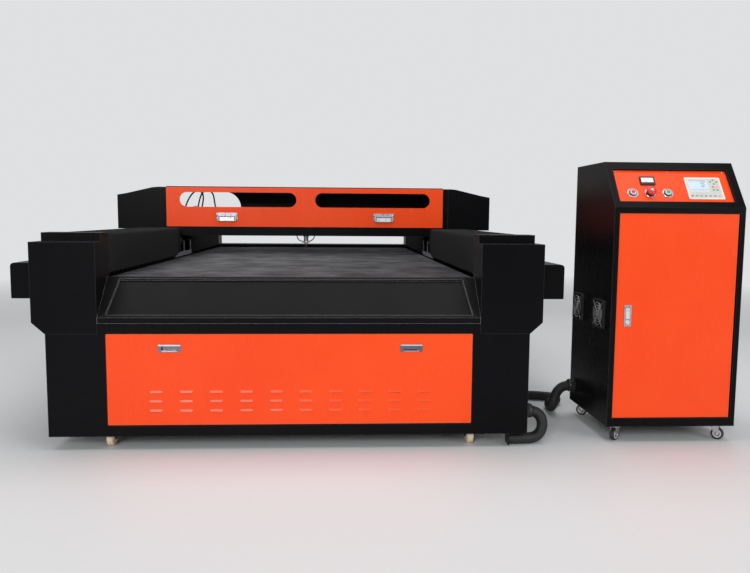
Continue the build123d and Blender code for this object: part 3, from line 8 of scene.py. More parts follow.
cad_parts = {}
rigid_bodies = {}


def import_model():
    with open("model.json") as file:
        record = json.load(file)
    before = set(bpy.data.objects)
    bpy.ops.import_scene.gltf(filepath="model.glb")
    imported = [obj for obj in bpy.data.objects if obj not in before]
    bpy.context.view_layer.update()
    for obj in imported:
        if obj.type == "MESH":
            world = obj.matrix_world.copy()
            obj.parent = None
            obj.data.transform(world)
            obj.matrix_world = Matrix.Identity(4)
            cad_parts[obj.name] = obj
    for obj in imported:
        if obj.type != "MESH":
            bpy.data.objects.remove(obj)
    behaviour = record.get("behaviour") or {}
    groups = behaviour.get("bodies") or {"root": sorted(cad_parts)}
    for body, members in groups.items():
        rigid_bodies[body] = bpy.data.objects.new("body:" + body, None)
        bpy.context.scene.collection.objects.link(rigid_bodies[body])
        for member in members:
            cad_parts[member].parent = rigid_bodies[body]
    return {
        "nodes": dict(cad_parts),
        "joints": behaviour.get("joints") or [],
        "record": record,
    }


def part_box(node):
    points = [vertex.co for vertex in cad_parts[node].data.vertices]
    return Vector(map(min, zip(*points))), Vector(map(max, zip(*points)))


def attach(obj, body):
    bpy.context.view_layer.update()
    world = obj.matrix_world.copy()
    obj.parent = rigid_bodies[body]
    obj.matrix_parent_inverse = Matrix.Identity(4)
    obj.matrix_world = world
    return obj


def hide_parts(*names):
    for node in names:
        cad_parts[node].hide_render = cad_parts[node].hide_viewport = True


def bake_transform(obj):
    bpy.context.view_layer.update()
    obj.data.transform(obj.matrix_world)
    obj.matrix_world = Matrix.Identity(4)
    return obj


# Large-format laser cutting and engraving machine. Metres, in the frame of the solids.
# Sizes are written in millimetres and turned into metres by bed() and mm().
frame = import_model()
solids = frame["nodes"]
joints = {joint["name"]: joint for joint in frame["joints"]}
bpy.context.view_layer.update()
scene = bpy.context.scene

# The bed's own axes: X from its middle, Y from its front face, Z from the floor
chute_low, chute_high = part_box("front_chute")
bed_middle = (chute_low.x + chute_high.x) / 2
bed_front = chute_low.y


def mm(length):
    """A length in millimetres as metres."""
    return length / 1000


def bed(x, y, z):
    """A point of the bed in millimetres, as a point of the frame in metres."""
    return Vector((bed_middle + mm(x), bed_front + mm(y), mm(z)))


# Added pieces stand off the faces that they sit on by this much, in millimetres
stand_off = 0.05

RIGHT = Vector((1, 0, 0))
BACK = Vector((0, 1, 0))
UP = Vector((0, 0, 1))


def axes_at(origin, across, along):
    """Matrix whose X and Y run along the two directions; its Z is their cross product."""
    normal = across.cross(along)
    axes = Matrix((across, along, normal)).transposed()
    return Matrix.Translation(origin) @ axes.to_4x4()


def facing(across, along):
    """Maker of planes at a point of the bed, with X and Y along the two directions."""
    return lambda x, y, z: axes_at(bed(x, y, z), across, along)


# Planes over a face: Z points outwards, Y upwards, or backwards on a top
facing_front = facing(RIGHT, UP)
facing_back = facing(-RIGHT, UP)
facing_left = facing(-BACK, UP)
facing_right = facing(BACK, UP)
facing_up = facing(RIGHT, BACK)


def along_axis(origin, axis):
    """Plane whose Z is the axis."""
    normal = Vector(axis).normalized()
    helper = RIGHT if abs(normal.x) < 0.9 else BACK
    across = helper.cross(normal).normalized()
    return axes_at(origin, across, normal.cross(across))


def turned(place, degrees):
    """The plane turned about its own Z."""
    return place @ Matrix.Rotation(math.radians(degrees), 4, "Z")


# Mesh helpers
def on_circle(radius, angle, x=0.0, y=0.0):
    """Point of a circle round a middle."""
    return x + radius * math.cos(angle), y + radius * math.sin(angle)


def join_rows(bm, lower, upper):
    """Band of faces between two closed rows of as many points."""
    for step in range(len(lower)):
        after = (step + 1) % len(lower)
        bm.faces.new((lower[step], lower[after], upper[after], upper[step]))


def add_skin(bm, rows, closed):
    """Bands from row to row. The last row is joined to the first, or both ends are capped."""
    for lower, upper in zip(rows, rows[1:]):
        join_rows(bm, lower, upper)
    if closed:
        join_rows(bm, rows[-1], rows[0])
    else:
        bm.faces.new(rows[0][::-1])
        bm.faces.new(rows[-1])


def add_rings(bm, place, rings, segments, closed=False):
    """Skin over rings of (radius, height) round the plane's Z; a radius may be a function
    of the angle. An open row of rings is capped at both ends."""
    rows = []
    for radius, height in rings:
        row = []
        for step in range(segments):
            angle = 2 * math.pi * step / segments
            reach = mm(radius(angle) if callable(radius) else radius)
            point = Vector((*on_circle(reach, angle), mm(height)))
            row.append(bm.verts.new(place @ point))
        rows.append(row)
    add_skin(bm, rows, closed)


def add_prism(bm, place, outline, height, edge=0.0):
    """Plate with the outline's shape (millimetres) that stands on the plane, with its upper
    edge broken by a chamfer."""
    centre = Vector((
        sum(x for x, y in outline) / len(outline),
        sum(y for x, y in outline) / len(outline),
    ))
    reach = max(max(abs(x - centre.x), abs(y - centre.y)) for x, y in outline)
    levels = [(1.0, 0.0), (1.0, height - edge)]
    if edge:
        levels.append((1 - edge / reach, height))
    rows = []
    for share, z in levels:
        row = []
        for x, y in outline:
            point = centre + (Vector((x, y)) - centre) * share
            row.append(bm.verts.new(place @ Vector((mm(point.x), mm(point.y), mm(z)))))
        rows.append(row)
    add_skin(bm, rows, closed=False)


def add_frame(bm, place, outer, inner, height):
    """Flat frame between two outlines (millimetres) of as many points each."""
    rows = []
    for outline, z in ((outer, 0.0), (outer, height), (inner, height), (inner, 0.0)):
        rows.append([bm.verts.new(place @ Vector((mm(x), mm(y), mm(z)))) for x, y in outline])
    add_skin(bm, rows, closed=True)


def rounded(width, height, radius, x=0.0, y=0.0):
    """Outline of a rectangle with round corners."""
    steps = 5
    points = []
    for corner in range(4):
        middle_x = x + (width / 2 - radius) * (1 if corner in (0, 3) else -1)
        middle_y = y + (height / 2 - radius) * (1 if corner in (0, 1) else -1)
        for step in range(steps + 1):
            angle = math.pi / 2 * (corner + step / steps)
            points.append(on_circle(radius, angle, middle_x, middle_y))
    return points


def hexagon(across_flats):
    """Radius of a hexagon as a function of the angle."""
    def radius(angle):
        from_flat = (angle + math.pi / 6) % (math.pi / 3) - math.pi / 6
        return across_flats / 2 / math.cos(from_flat)
    return radius


def linked(name, data):
    """New object of the scene."""
    made = bpy.data.objects.new(name, data)
    scene.collection.objects.link(made)
    return made


def mesh_from(bm, name, material):
    """New mesh with one material."""
    mesh = bpy.data.meshes.new(name)
    bm.to_mesh(mesh)
    bm.free()
    mesh.materials.append(material)
    return mesh


def piece_from(bm, name, material, body, sharp=35):
    """Makes the mesh a piece of the scene that moves with the body."""
    bmesh.ops.recalc_face_normals(bm, faces=bm.faces)
    mesh = mesh_from(bm, name, material)
    mesh.shade_smooth()
    mesh.set_sharp_from_angle(angle=math.radians(sharp))
    made = linked(name, mesh)
    if body:
        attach(made, body)
    return made


def ring_piece(name, material, body, place, rings, segments, closed=True):
    """Piece of one skin over rings."""
    bm = bmesh.new()
    add_rings(bm, place, rings, segments, closed)
    return piece_from(bm, name, material, body)


def prism_piece(name, material, body, place, outline, height, edge=0.0):
    """Piece of one plate."""
    bm = bmesh.new()
    add_prism(bm, place, outline, height, edge)
    return piece_from(bm, name, material, body)


# Material helpers
def node(tree, kind, inputs=None, **settings):
    """Adds a shader node, with its settings and with values or links at its inputs."""
    made = tree.nodes.new(kind)
    for key, value in settings.items():
        setattr(made, key, value)
    for key, value in (inputs or {}).items():
        if isinstance(value, bpy.types.NodeSocket):
            tree.links.new(value, made.inputs[key])
        else:
            made.inputs[key].default_value = value
    return made


def start(name, **constants):
    """New material with its principled shader's plain values set."""
    material = bpy.data.materials.new(name)
    material.use_nodes = True
    tree = material.node_tree
    shader = tree.nodes["Principled BSDF"]
    for key, value in constants.items():
        shader.inputs[key.replace("_", " ")].default_value = value
    return material, tree, shader


def placed(tree, stretch=(1, 1, 1)):
    """Coordinates in metres, stretched along each axis."""
    where = node(tree, "ShaderNodeTexCoord").outputs["Object"]
    mapping = node(tree, "ShaderNodeMapping", {"Vector": where, "Scale": stretch})
    return mapping.outputs["Vector"]


def noise(tree, scale, detail, stretch=(1, 1, 1), roughness=0.55):
    """Fractal noise with the given number of cells to the metre."""
    where = placed(tree, stretch)
    inputs = {"Vector": where, "Scale": scale, "Detail": detail, "Roughness": roughness}
    return node(tree, "ShaderNodeTexNoise", inputs).outputs["Fac"]


def ranged(tree, value, low, high, start_at=0.3, end_at=0.7):
    """Spreads a value between two limits."""
    made = node(
        tree,
        "ShaderNodeMapRange",
        {"Value": value, "From Min": start_at, "From Max": end_at, "To Min": low, "To Max": high},
    )
    return made.outputs["Result"]


def maths(tree, operation, first, second):
    """Result of an operation on two values."""
    return node(tree, "ShaderNodeMath", {0: first, 1: second}, operation=operation).outputs[0]


def toned(colour, share):
    """The colour made darker or paler."""
    return tuple(share * part for part in colour)


def blended(tree, share, first, second):
    """Colour between two colours."""
    inputs = {0: share}
    for key, colour in ((6, first), (7, second)):
        from_node = isinstance(colour, bpy.types.NodeSocket)
        inputs[key] = colour if from_node else (*colour, 1)
    return node(tree, "ShaderNodeMix", inputs, data_type="RGBA").outputs[2]


def mottled(tree, pattern, first, second):
    """Colour that drifts between two colours with a noise."""
    return blended(tree, ranged(tree, pattern, 0.0, 1.0), first, second)


def surface(tree, shader, colour, pattern, smoothest, roughest, *limits):
    """Links the colour to the shader, and a roughness that follows the pattern."""
    tree.links.new(colour, shader.inputs["Base Color"])
    roughness = ranged(tree, pattern, smoothest, roughest, *limits)
    tree.links.new(roughness, shader.inputs["Roughness"])


def rounded_normal(tree, radius, samples):
    """The surface's direction, with the solid's edges rounded."""
    return node(tree, "ShaderNodeBevel", {"Radius": radius}, samples=samples).outputs["Normal"]


def bumped(tree, shader, height, distance, strength, edge=0.0):
    """Bump in metres on the shader, with the solid's edges rounded by edge."""
    inputs = {"Height": height, "Distance": distance, "Strength": strength}
    if edge:
        inputs["Normal"] = rounded_normal(tree, edge, 4)
    made = node(tree, "ShaderNodeBump", inputs)
    tree.links.new(made.outputs["Normal"], shader.inputs["Normal"])


DUST = (0.36, 0.34, 0.31)
# Width in millimetres and strength of the painted highlight that pales the paint along sharp bends
highlight_radius = 2.4
highlight_amount = 0.8


def dusted(tree, colour, amount):
    """Fine pale dust on the faces that look up."""
    normal = node(tree, "ShaderNodeNewGeometry").outputs["Normal"]
    upward = node(tree, "ShaderNodeSeparateXYZ", {"Vector": normal}).outputs["Z"]
    lying = ranged(tree, upward, 0.0, 1.0, 0.6, 1.0)
    patchy = ranged(tree, noise(tree, 14.0, 5.0), 0.3 * amount, amount)
    return blended(tree, maths(tree, "MULTIPLY", lying, patchy), colour, DUST)


def painted_edge_highlight(tree, colour, wear_and_highlight):
    """Painted highlight: paler colour where the solid bends sharply, there where the rounded normal
    leaves the flat one.
    """
    normals = {
        0: rounded_normal(tree, mm(highlight_radius), 6),
        1: node(tree, "ShaderNodeNewGeometry").outputs["True Normal"],
    }
    along = node(tree, "ShaderNodeVectorMath", normals, operation="DOT_PRODUCT")
    share = ranged(tree, along.outputs["Value"], highlight_amount, 0.0, 0.80, 0.97)
    return blended(tree, share, colour, wear_and_highlight)


# Materials
def powder_coat(name, colour, second, roughness, dust, gloss, edge):
    """Sprayed powder coat: orange peel at a millimetre, cloudy tone, edges round, with a painted
    highlight in a paler colour along them.
    """
    material, tree, shader = start(name, IOR=1.45, Specular_IOR_Level=gloss)
    tone = mottled(tree, noise(tree, 2.2, 4.0), colour, second)
    # Painted highlight: the edge colour pales the paint along the solid's sharp bends
    tone = painted_edge_highlight(tree, dusted(tree, tone, dust), edge)
    smears = noise(tree, 9.0, 5.0, (1.0, 1.0, 0.35))
    surface(tree, shader, tone, smears, roughness * 0.88, roughness * 1.14)
    bumped(tree, shader, noise(tree, 620.0, 2.0), mm(0.10), 0.35, mm(1.6))
    return material


def machined(name, colour, second, roughness, stretch, scratch=260.0):
    """Metal with fine lines along one axis."""
    material, tree, shader = start(name, Metallic=1.0)
    lines = noise(tree, scratch, 4.0, stretch, 0.7)
    tone = mottled(tree, noise(tree, 7.0, 4.0), colour, second)
    surface(tree, shader, tone, lines, roughness * 0.75, roughness * 1.3)
    bumped(tree, shader, lines, mm(0.03), 0.4, mm(0.5))
    return material


def zinc_coated(name, colour, second, roughness):
    """Hot-dip zinc with its flower pattern."""
    material, tree, shader = start(name, Metallic=0.9)
    flowers = node(tree, "ShaderNodeTexVoronoi", {"Vector": placed(tree), "Scale": 90.0})
    grey = node(tree, "ShaderNodeSeparateColor", {"Color": flowers.outputs["Color"]}).outputs[0]
    tone = blended(tree, grey, colour, second)
    surface(tree, shader, tone, grey, roughness * 0.8, roughness * 1.25, 0.0, 1.0)
    bumped(tree, shader, grey, mm(0.02), 0.3, mm(0.8))
    return material


def bright_metal(name, colour, roughness):
    """Plated metal with faint smears and fine wipe marks."""
    material, tree, shader = start(name, Metallic=1.0)
    smears = noise(tree, 60.0, 6.0)
    tone = mottled(tree, smears, colour, toned(colour, 0.86))
    surface(tree, shader, tone, smears, roughness * 0.6, roughness * 1.8)
    bumped(tree, shader, noise(tree, 700.0, 3.0, (1.0, 1.0, 6.0)), mm(0.01), 0.3, mm(0.4))
    return material


def moulded(name, colour, second, roughness, grain=1500.0, depth=0.04):
    """Moulded plastic or rubber with a fine spark-eroded grain."""
    material, tree, shader = start(name, IOR=1.47)
    clouds = noise(tree, 35.0, 4.0)
    tone = mottled(tree, clouds, colour, second)
    surface(tree, shader, tone, clouds, roughness * 0.85, roughness * 1.15)
    bumped(tree, shader, noise(tree, grain, 2.0), mm(depth), 0.4, mm(0.5))
    return material


def coated_fabric(name, colour, second):
    """Woven cloth with a plastic coat: crossing sets of threads under a soft sheen."""
    material, tree, shader = start(
        name, IOR=1.4, Specular_IOR_Level=0.25, Sheen_Weight=0.05, Sheen_Roughness=0.45
    )
    threads = []
    for direction in ("X", "Y", "Z"):
        wave = node(
            tree,
            "ShaderNodeTexWave",
            {"Vector": placed(tree), "Scale": 180.0, "Distortion": 0.4, "Detail": 1.0},
            bands_direction=direction,
        )
        threads.append(wave.outputs["Fac"])
    weave = maths(tree, "ADD", maths(tree, "MULTIPLY", threads[0], threads[1]), threads[2])
    wear_and_highlight = noise(tree, 11.0, 5.0)
    surface(tree, shader, mottled(tree, wear_and_highlight, colour, second), wear_and_highlight, 0.5, 0.68)
    bumped(tree, shader, weave, mm(0.12), 0.5)
    return material


def clear_glass(name, tint):
    """Thin-walled glass with faint smears."""
    material, tree, shader = start(name, Transmission_Weight=0.9, IOR=1.47)
    smears = noise(tree, 25.0, 6.0)
    surface(tree, shader, blended(tree, smears, tint, toned(tint, 1.06)), smears, 0.02, 0.09)
    return material


def display(name, colour, second):
    """Liquid-crystal screen: pale field with a fine dot matrix."""
    material, tree, shader = start(name, Roughness=0.18, IOR=1.5)
    dots = node(
        tree,
        "ShaderNodeTexChecker",
        {"Vector": placed(tree), "Scale": 1400.0, "Color1": (1, 1, 1, 1), "Color2": (0, 0, 0, 1)},
    )
    field = mottled(tree, noise(tree, 18.0, 2.0), colour, second)
    tone = blended(tree, dots.outputs["Fac"], field, toned(colour, 0.9))
    tree.links.new(tone, shader.inputs["Base Color"])
    return material


# The edge colour of each coat is a painted highlight along its sharp bends
BLACK = powder_coat(
    "black_coat", (0.0020, 0.0020, 0.0026), (0.0033, 0.0032, 0.0041),
    roughness=0.28, dust=0.004, gloss=0.10, edge=(0.085, 0.085, 0.090),
)
# Copy of the black coat for the chute, with a far paler edge colour: a painted highlight along its
# bends
CHUTE_BLACK_PAINTED_HIGHLIGHT = powder_coat(
    "chute_coat_painted_highlight", (0.0020, 0.0020, 0.0026), (0.0046, 0.0046, 0.0054),
    roughness=0.30, dust=0.010, gloss=0.10, edge=(0.46, 0.46, 0.48),
)
ORANGE = powder_coat(
    "orange_coat", (0.880, 0.060, 0.006), (0.920, 0.076, 0.010),
    roughness=0.27, dust=0.006, gloss=0.28, edge=(0.980, 0.240, 0.110),
)
STEEL = machined("steel", (0.56, 0.56, 0.57), (0.48, 0.48, 0.50), 0.30, (0.03, 1, 1))
ZINC = zinc_coated("galvanised", (0.56, 0.57, 0.59), (0.42, 0.43, 0.46), 0.38)
ALUMINIUM = machined(
    "slat_aluminium", (0.19, 0.19, 0.20), (0.075, 0.075, 0.08), 0.46, (0.02, 1, 1), scratch=60.0
)
CHROME = bright_metal("chrome", (0.86, 0.86, 0.88), 0.13)
SATIN = bright_metal("satin_chrome", (0.82, 0.82, 0.84), 0.34)
NICKEL = bright_metal("dark_nickel", (0.20, 0.20, 0.24), 0.16)
PLATED = bright_metal("zinc_plated", (0.52, 0.51, 0.56), 0.28)
FABRIC = coated_fabric("bellows_fabric", (0.006, 0.006, 0.007), (0.011, 0.011, 0.012))
NYLON = moulded("beige_nylon", (0.70, 0.60, 0.42), (0.60, 0.50, 0.34), 0.45, 900.0)
TYRE = moulded("wheel_black", (0.018, 0.018, 0.019), (0.034, 0.033, 0.032), 0.55, 800.0, 0.08)
GLASS = clear_glass("laser_glass", (0.86, 0.93, 0.92))
CABLE = moulded("cable_black", (0.014, 0.014, 0.015), (0.024, 0.024, 0.025), 0.42, 1200.0)
CONDUIT = moulded("conduit_rubber", (0.011, 0.011, 0.012), (0.019, 0.019, 0.020), 0.52, 900.0, 0.06)
HEAD = machined("head_grey", (0.34, 0.35, 0.37), (0.28, 0.29, 0.31), 0.36, (1, 1, 0.03))
BRASS = machined("nozzle_brass", (0.80, 0.58, 0.26), (0.70, 0.48, 0.20), 0.26, (1, 1, 0.04))
BLACK_PLASTIC = moulded("black_plastic", (0.009, 0.009, 0.010), (0.016, 0.016, 0.017), 0.40)
CREAM_PLASTIC = moulded("cream_plastic", (0.80, 0.76, 0.70), (0.74, 0.70, 0.64), 0.42)
FACE_SHEET = moulded("grey_face_sheet", (0.58, 0.57, 0.56), (0.53, 0.52, 0.51), 0.30)
WHITE_PLASTIC = moulded("white_plastic", (0.84, 0.84, 0.84), (0.76, 0.76, 0.78), 0.35)
GREEN_PLASTIC = moulded("green_plastic", (0.020, 0.300, 0.105), (0.030, 0.370, 0.140), 0.30)
RED_PLASTIC = moulded("red_plastic", (0.560, 0.018, 0.022), (0.640, 0.028, 0.030), 0.30)
AMBER_PLASTIC = moulded("amber_plastic", (0.880, 0.260, 0.050), (0.930, 0.320, 0.080), 0.32)
SCREEN = display("screen_blue", (0.56, 0.70, 0.80), (0.64, 0.77, 0.86))

# Slots of the record with their materials: a solid gets the first, added pieces any of them
slot_materials = {
    "black_coat": (BLACK, CHUTE_BLACK_PAINTED_HIGHLIGHT),
    "orange_coat": (ORANGE,),
    "steel": (STEEL,),
    "galvanised": (ZINC,),
    "slat_aluminium": (ALUMINIUM,),
    "chrome": (CHROME, SATIN, NICKEL, PLATED),
    "bellows_fabric": (FABRIC,),
    "beige_nylon": (NYLON,),
    "wheel_black": (TYRE,),
    "laser_glass": (GLASS, SCREEN),
    "cable_black": (CABLE,),
    "conduit_rubber": (CONDUIT,),
    "head_grey": (HEAD,),
    "nozzle_brass": (BRASS,),
    "black_plastic": (BLACK_PLASTIC,),
    "cream_plastic": (CREAM_PLASTIC, FACE_SHEET, WHITE_PLASTIC),
    "green_plastic": (GREEN_PLASTIC,),
    "red_plastic": (RED_PLASTIC, AMBER_PLASTIC),
}


def dress_solids():
    """Gives each solid the material of its slot in the record, or its own finish of it."""
    finishes = {
        "door_pulls": NICKEL, "cover_handle_left": SATIN, "cover_handle_right": SATIN,
        "front_chute": CHUTE_BLACK_PAINTED_HIGHLIGHT, "door_lock": PLATED, "lock_lever": SATIN, "lock_button": SATIN,
    }
    for entry in frame["record"]["subparts"]:
        solid = solids[entry["node"]]
        slot = entry["material_slot"]
        solid.data.materials.clear()
        solid.data.materials.append(finishes.get(entry["node"], slot_materials[slot][0]))


dress_solids()

# Bellows: fine pleats over the rails, tucked under the end boxes' caps and into the hood
bellows_in = 753.0
bellows_out = 975.0
bellows_foot = 690.0
bellows_top = 852.0
bellows_corner = 14.0
pleat_pitch = 19.0
pleat_depth = 11.0
pleat_round = 0.9
tuck = 45.0
cloth = 0.7


def bellows_section(inset):
    """The channel's outline as (X, Z), from the outer foot over the top to the inner foot."""
    points = [(bellows_out - inset, bellows_foot)]
    middle_z = bellows_top - inset - bellows_corner
    for middle_x, first in (
        (bellows_out - inset - bellows_corner, 0.0),
        (bellows_in + inset + bellows_corner, 90.0),
    ):
        for step in range(4):
            angle = math.radians(first + 30 * step)
            points.append(on_circle(bellows_corner, angle, middle_x, middle_z))
    points.append((bellows_in + inset, bellows_foot))
    return points


def bellows(name, side, start_y, end_y, reach):
    """One pleated cover between two places on the rail, baked where it stands; reach only sets the
    ends of a stretch that nothing uses."""
    bm = bmesh.new()
    first = start_y - tuck
    count = round((end_y + tuck - first) / pleat_pitch)
    pitch = (end_y + tuck - first) / count
    rows = []
    for number in range(count + 1):
        ridge = first + pitch * number
        rows += [(ridge - pleat_round, 0.0), (ridge + pleat_round, 0.0)]
        if number < count:
            valley = ridge + pitch / 2
            rows += [(valley - pleat_round, pleat_depth), (valley + pleat_round, pleat_depth)]
    skin = []
    for y, inset in rows:
        skin.append([bm.verts.new(bed(side * x, y, z)) for x, z in bellows_section(inset)])
    for near, far in zip(skin, skin[1:]):
        for step in range(len(near) - 1):
            bm.faces.new((near[step], near[step + 1], far[step + 1], far[step]))
    bmesh.ops.recalc_face_normals(bm, faces=bm.faces)
    bmesh.ops.solidify(bm, geom=bm.faces[:], thickness=mm(cloth))
    cover = piece_from(bm, f"{name}_cloth", FABRIC, None, sharp=50)
    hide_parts(name)
    stretch_start = bed(side * bellows_in, start_y - reach, bellows_foot)
    stretch_end = bed(side * bellows_in, end_y + reach, bellows_foot)
    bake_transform(cover)


def make_bellows():
    """The four covers, in front of the gantry and behind it on both rails."""
    for end, joined, reach in (
        ("front", ("machine", "gantry"), 190.0),
        ("rear", ("gantry", "machine"), 170.0),
    ):
        for place, side in (("right", 1), ("left", -1)):
            name = f"bellows_{end}_{place}"
            low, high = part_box(name)
            start_y = (low.y - bed_front) * 1000
            end_y = (high.y - bed_front) * 1000
            bellows(name, side, start_y, end_y, reach)


make_bellows()


# Cords: one smooth curve through the middles of the runs between the route's points
def smooth_path(points, steps=16):
    """Points along the quadratic curve that the route's points control."""
    corners = [points[0]]
    for before, after in zip(points[1:-2], points[2:-1]):
        corners.append((before + after) / 2)
    corners.append(points[-1])
    path = [points[0]]
    for first, middle, last in zip(corners, points[1:-1], corners[1:]):
        for step in range(1, steps + 1):
            t = step / steps
            path.append(first * (1 - t) ** 2 + middle * (2 * t * (1 - t)) + last * t ** 2)
    return path


def path_length(path):
    return sum((after - before).length for before, after in zip(path, path[1:]))


def cord_curve(name, points, diameter, material, body):
    """Round cord on one smooth curve, held at both ends."""
    curve = bpy.data.curves.new(name, "CURVE")
    curve.dimensions = "3D"
    curve.bevel_depth = mm(diameter) / 2
    curve.bevel_resolution = 5
    curve.resolution_u = 14
    curve.use_fill_caps = True
    spline = curve.splines.new("NURBS")
    spline.points.add(len(points) - 1)
    for control, point in zip(spline.points, points):
        control.co = (*point, 1)
    spline.order_u = 3
    spline.use_endpoint_u = True
    curve.materials.append(material)
    made = linked(name, curve)
    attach(made, body)
    return made


hose_diameter = 6.0
head_y = 1645.0
lens_radius = 13.3
mirror_half = 22.0
mirror_z = 880.0
hose_left = [
    (-mirror_half, head_y, mirror_z), (-42, head_y, mirror_z), (-57, head_y - 3, 860),
    (-60, head_y - 4, 832), (-56, head_y - 4, 802), (-42, head_y, 775), (-lens_radius, head_y, 770),
]
hose_right = [
    (mirror_half, head_y, mirror_z), (42, head_y, mirror_z), (56, head_y + 2, 861),
    (58, head_y + 3, 834), (52, head_y + 3, 804), (39, head_y, 778), (lens_radius, head_y, 771),
]
beam_top = 906.0
wide_loop = [
    (0, 0), (0, 47), (13, 94), (36, 136), (58, 161), (80, 171), (103, 165), (117, 146),
    (117, 113), (109, 72), (100, 36), (100, 0),
]
tall_loop = [
    (0, 0), (0, 47), (8, 95), (20, 139), (36, 164), (60, 173), (84, 165), (98, 142),
    (103, 101), (110, 62), (120, 30), (120, 0),
]
low_loop = [
    (0, 0), (0, 28), (4, 58), (14.3, 70.7), (29.9, 75.5), (45.5, 70.7), (55.8, 58), (60, 28),
    (60, 0),
]


def hose_fitting(name, place):
    """Push-in fitting over a hose's end: a hexagon at the wall and a round release collar."""
    bore = hose_diameter / 2 + 0.2
    ring_piece(name, SATIN, "focus", place, [
        (bore, 0), (hexagon(11), 0), (hexagon(11), 5), (4.8, 5.4), (4.8, 8), (5.4, 8.4),
        (5.4, 9.6), (4.6, 10.2), (bore, 10.2),
    ], 36)


def make_head_hoses():
    """Hose on each side of the head, from the mirror housing down to the lens tube."""
    for name, route, side in (("left", hose_left, -1), ("right", hose_right, 1)):
        points = [bed(*point) for point in route]
        hose = cord_curve(f"head_hose_{name}", points, hose_diameter, CABLE, "focus")
        if name == "left":
            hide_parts("head_hose")
        for end, point in (("upper", points[0]), ("lower", points[-1])):
            hose_fitting(f"hose_{name}_{end}_fitting", along_axis(point, (side, 0, 0)))


def cable_clamp(name, place, radius):
    """Screwed clamp ring round a cable's foot on the beam."""
    ring_piece(name, BLACK_PLASTIC, "gantry", place, [
        (radius + 0.2, 0), (hexagon(2 * radius + 9), 0), (hexagon(2 * radius + 9), 6),
        (radius + 3.2, 6.6), (radius + 3.2, 11), (radius + 1.6, 13), (radius + 0.2, 13),
    ], 36)


def make_cable_loops():
    """Two black cables and a low pale hose that stand on the beam behind the left window."""
    for name, route, x, y, lean, diameter, material in (
        ("wide", wide_loop, -752, 1780, -0.10, 9.0, CABLE),
        ("tall", tall_loop, -668, 1752, 0.05, 9.0, CABLE),
        ("low", low_loop, -718, 1802, 0.0, 7.0, WHITE_PLASTIC),
    ):
        points = [bed(x + u, y + u * lean, beam_top + v) for u, v in route]
        loop = cord_curve(f"gantry_loop_{name}", points, diameter, material, "gantry")
        if name == "wide":
            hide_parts("gantry_cables")
        for end, point in (("start", points[0]), ("end", points[-1])):
            cable_clamp(f"loop_{name}_{end}_clamp", along_axis(point, UP), diameter / 2)


make_head_hoses()
make_cable_loops()

# Ribbed conduits
conduit_radius = 23.0
rib_pitch = 6.0
rib_depth = 2.0
rings_per_rib = 6
conduit_sides = 28
floor_line = conduit_radius + 1.0
near_route = [
    (954, 66, 134), (996.4, 66, 134), (1026.4, 62, 104), (1026.4, 56, 54), (996.4, 50, floor_line),
    (938, 42, floor_line), (880, 42, floor_line),
]
far_route = [
    (1289, 474, 146), (1243, 474, 146), (1210, 476, 113), (1200, 484, 68), (1204, 514, 34),
    (1208, 566, floor_line), (1222, 630, floor_line), (1266, 664, floor_line),
    (1284, 714, floor_line), (1252, 756, floor_line), (1196, 778, floor_line),
    (1124, 786, floor_line), (1044, 782, floor_line), (972, 774, floor_line),
    (905, 774, floor_line),
]
near_wall = (954.2, 66, 134)
far_wall = (1288.8, 474, 146)


def spaced(path, spacing):
    """Points at even steps along the path."""
    total = path_length(path)
    count = max(2, round(total / spacing))
    found = []
    travelled = 0.0
    index = 0
    run = path[1] - path[0]
    for step in range(count + 1):
        distance = total * step / count
        while index < len(path) - 2 and travelled + run.length < distance:
            travelled += run.length
            index += 1
            run = path[index + 1] - path[index]
        share = (distance - travelled) / run.length
        found.append(path[index] + run * min(1.0, max(0.0, share)))
    return found


def ribbed_conduit(name, route):
    """Corrugated hose with a rib at each pitch, skinned over rings along its route."""
    path = smooth_path([bed(*point) for point in route])
    spots = spaced(path, mm(rib_pitch) / rings_per_rib)
    bm = bmesh.new()
    before = (spots[1] - spots[0]).normalized()
    across = UP.cross(before).normalized()
    previous = None
    for number, spot in enumerate(spots):
        ahead = (spots[min(number + 1, len(spots) - 1)] - spots[max(number - 1, 0)]).normalized()
        across = (before.rotation_difference(ahead) @ across).normalized()
        before = ahead
        other = ahead.cross(across).normalized()
        wave = 0.5 - 0.5 * math.cos(2 * math.pi * number / rings_per_rib)
        reach = mm(conduit_radius - rib_depth * wave)
        ring = []
        for side in range(conduit_sides):
            angle = 2 * math.pi * side / conduit_sides
            outwards = across * math.cos(angle) + other * math.sin(angle)
            ring.append(bm.verts.new(spot + outwards * reach))
        if previous:
            join_rows(bm, previous, ring)
        else:
            bm.faces.new(ring[::-1])
        previous = ring
    bm.faces.new(previous)
    hose = piece_from(bm, f"{name}_ribbed", CONDUIT, "machine", sharp=70)
    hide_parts(name)


def conduit_gland(name, place):
    """Screwed gland over the conduit's end: a hexagon at the wall and a domed cap."""
    bore = conduit_radius + 0.3
    return ring_piece(name, BLACK_PLASTIC, "machine", place, [
        (bore, 0), (hexagon(58), 0), (hexagon(58), 9), (28.0, 9.5), (28.0, 12), (29.5, 13),
        (29.5, 22), (27.5, 26), (25.0, 28), (bore, 28),
    ], 36)


def make_conduits():
    """The two conduits between the bed and the cabinet's left side."""
    near = conduit_gland("near_gland", facing_right(*near_wall))
    far = conduit_gland("far_gland", facing_left(*far_wall))
    ribbed_conduit("conduit_near", near_route)
    ribbed_conduit("conduit_far", far_route)


make_conduits()

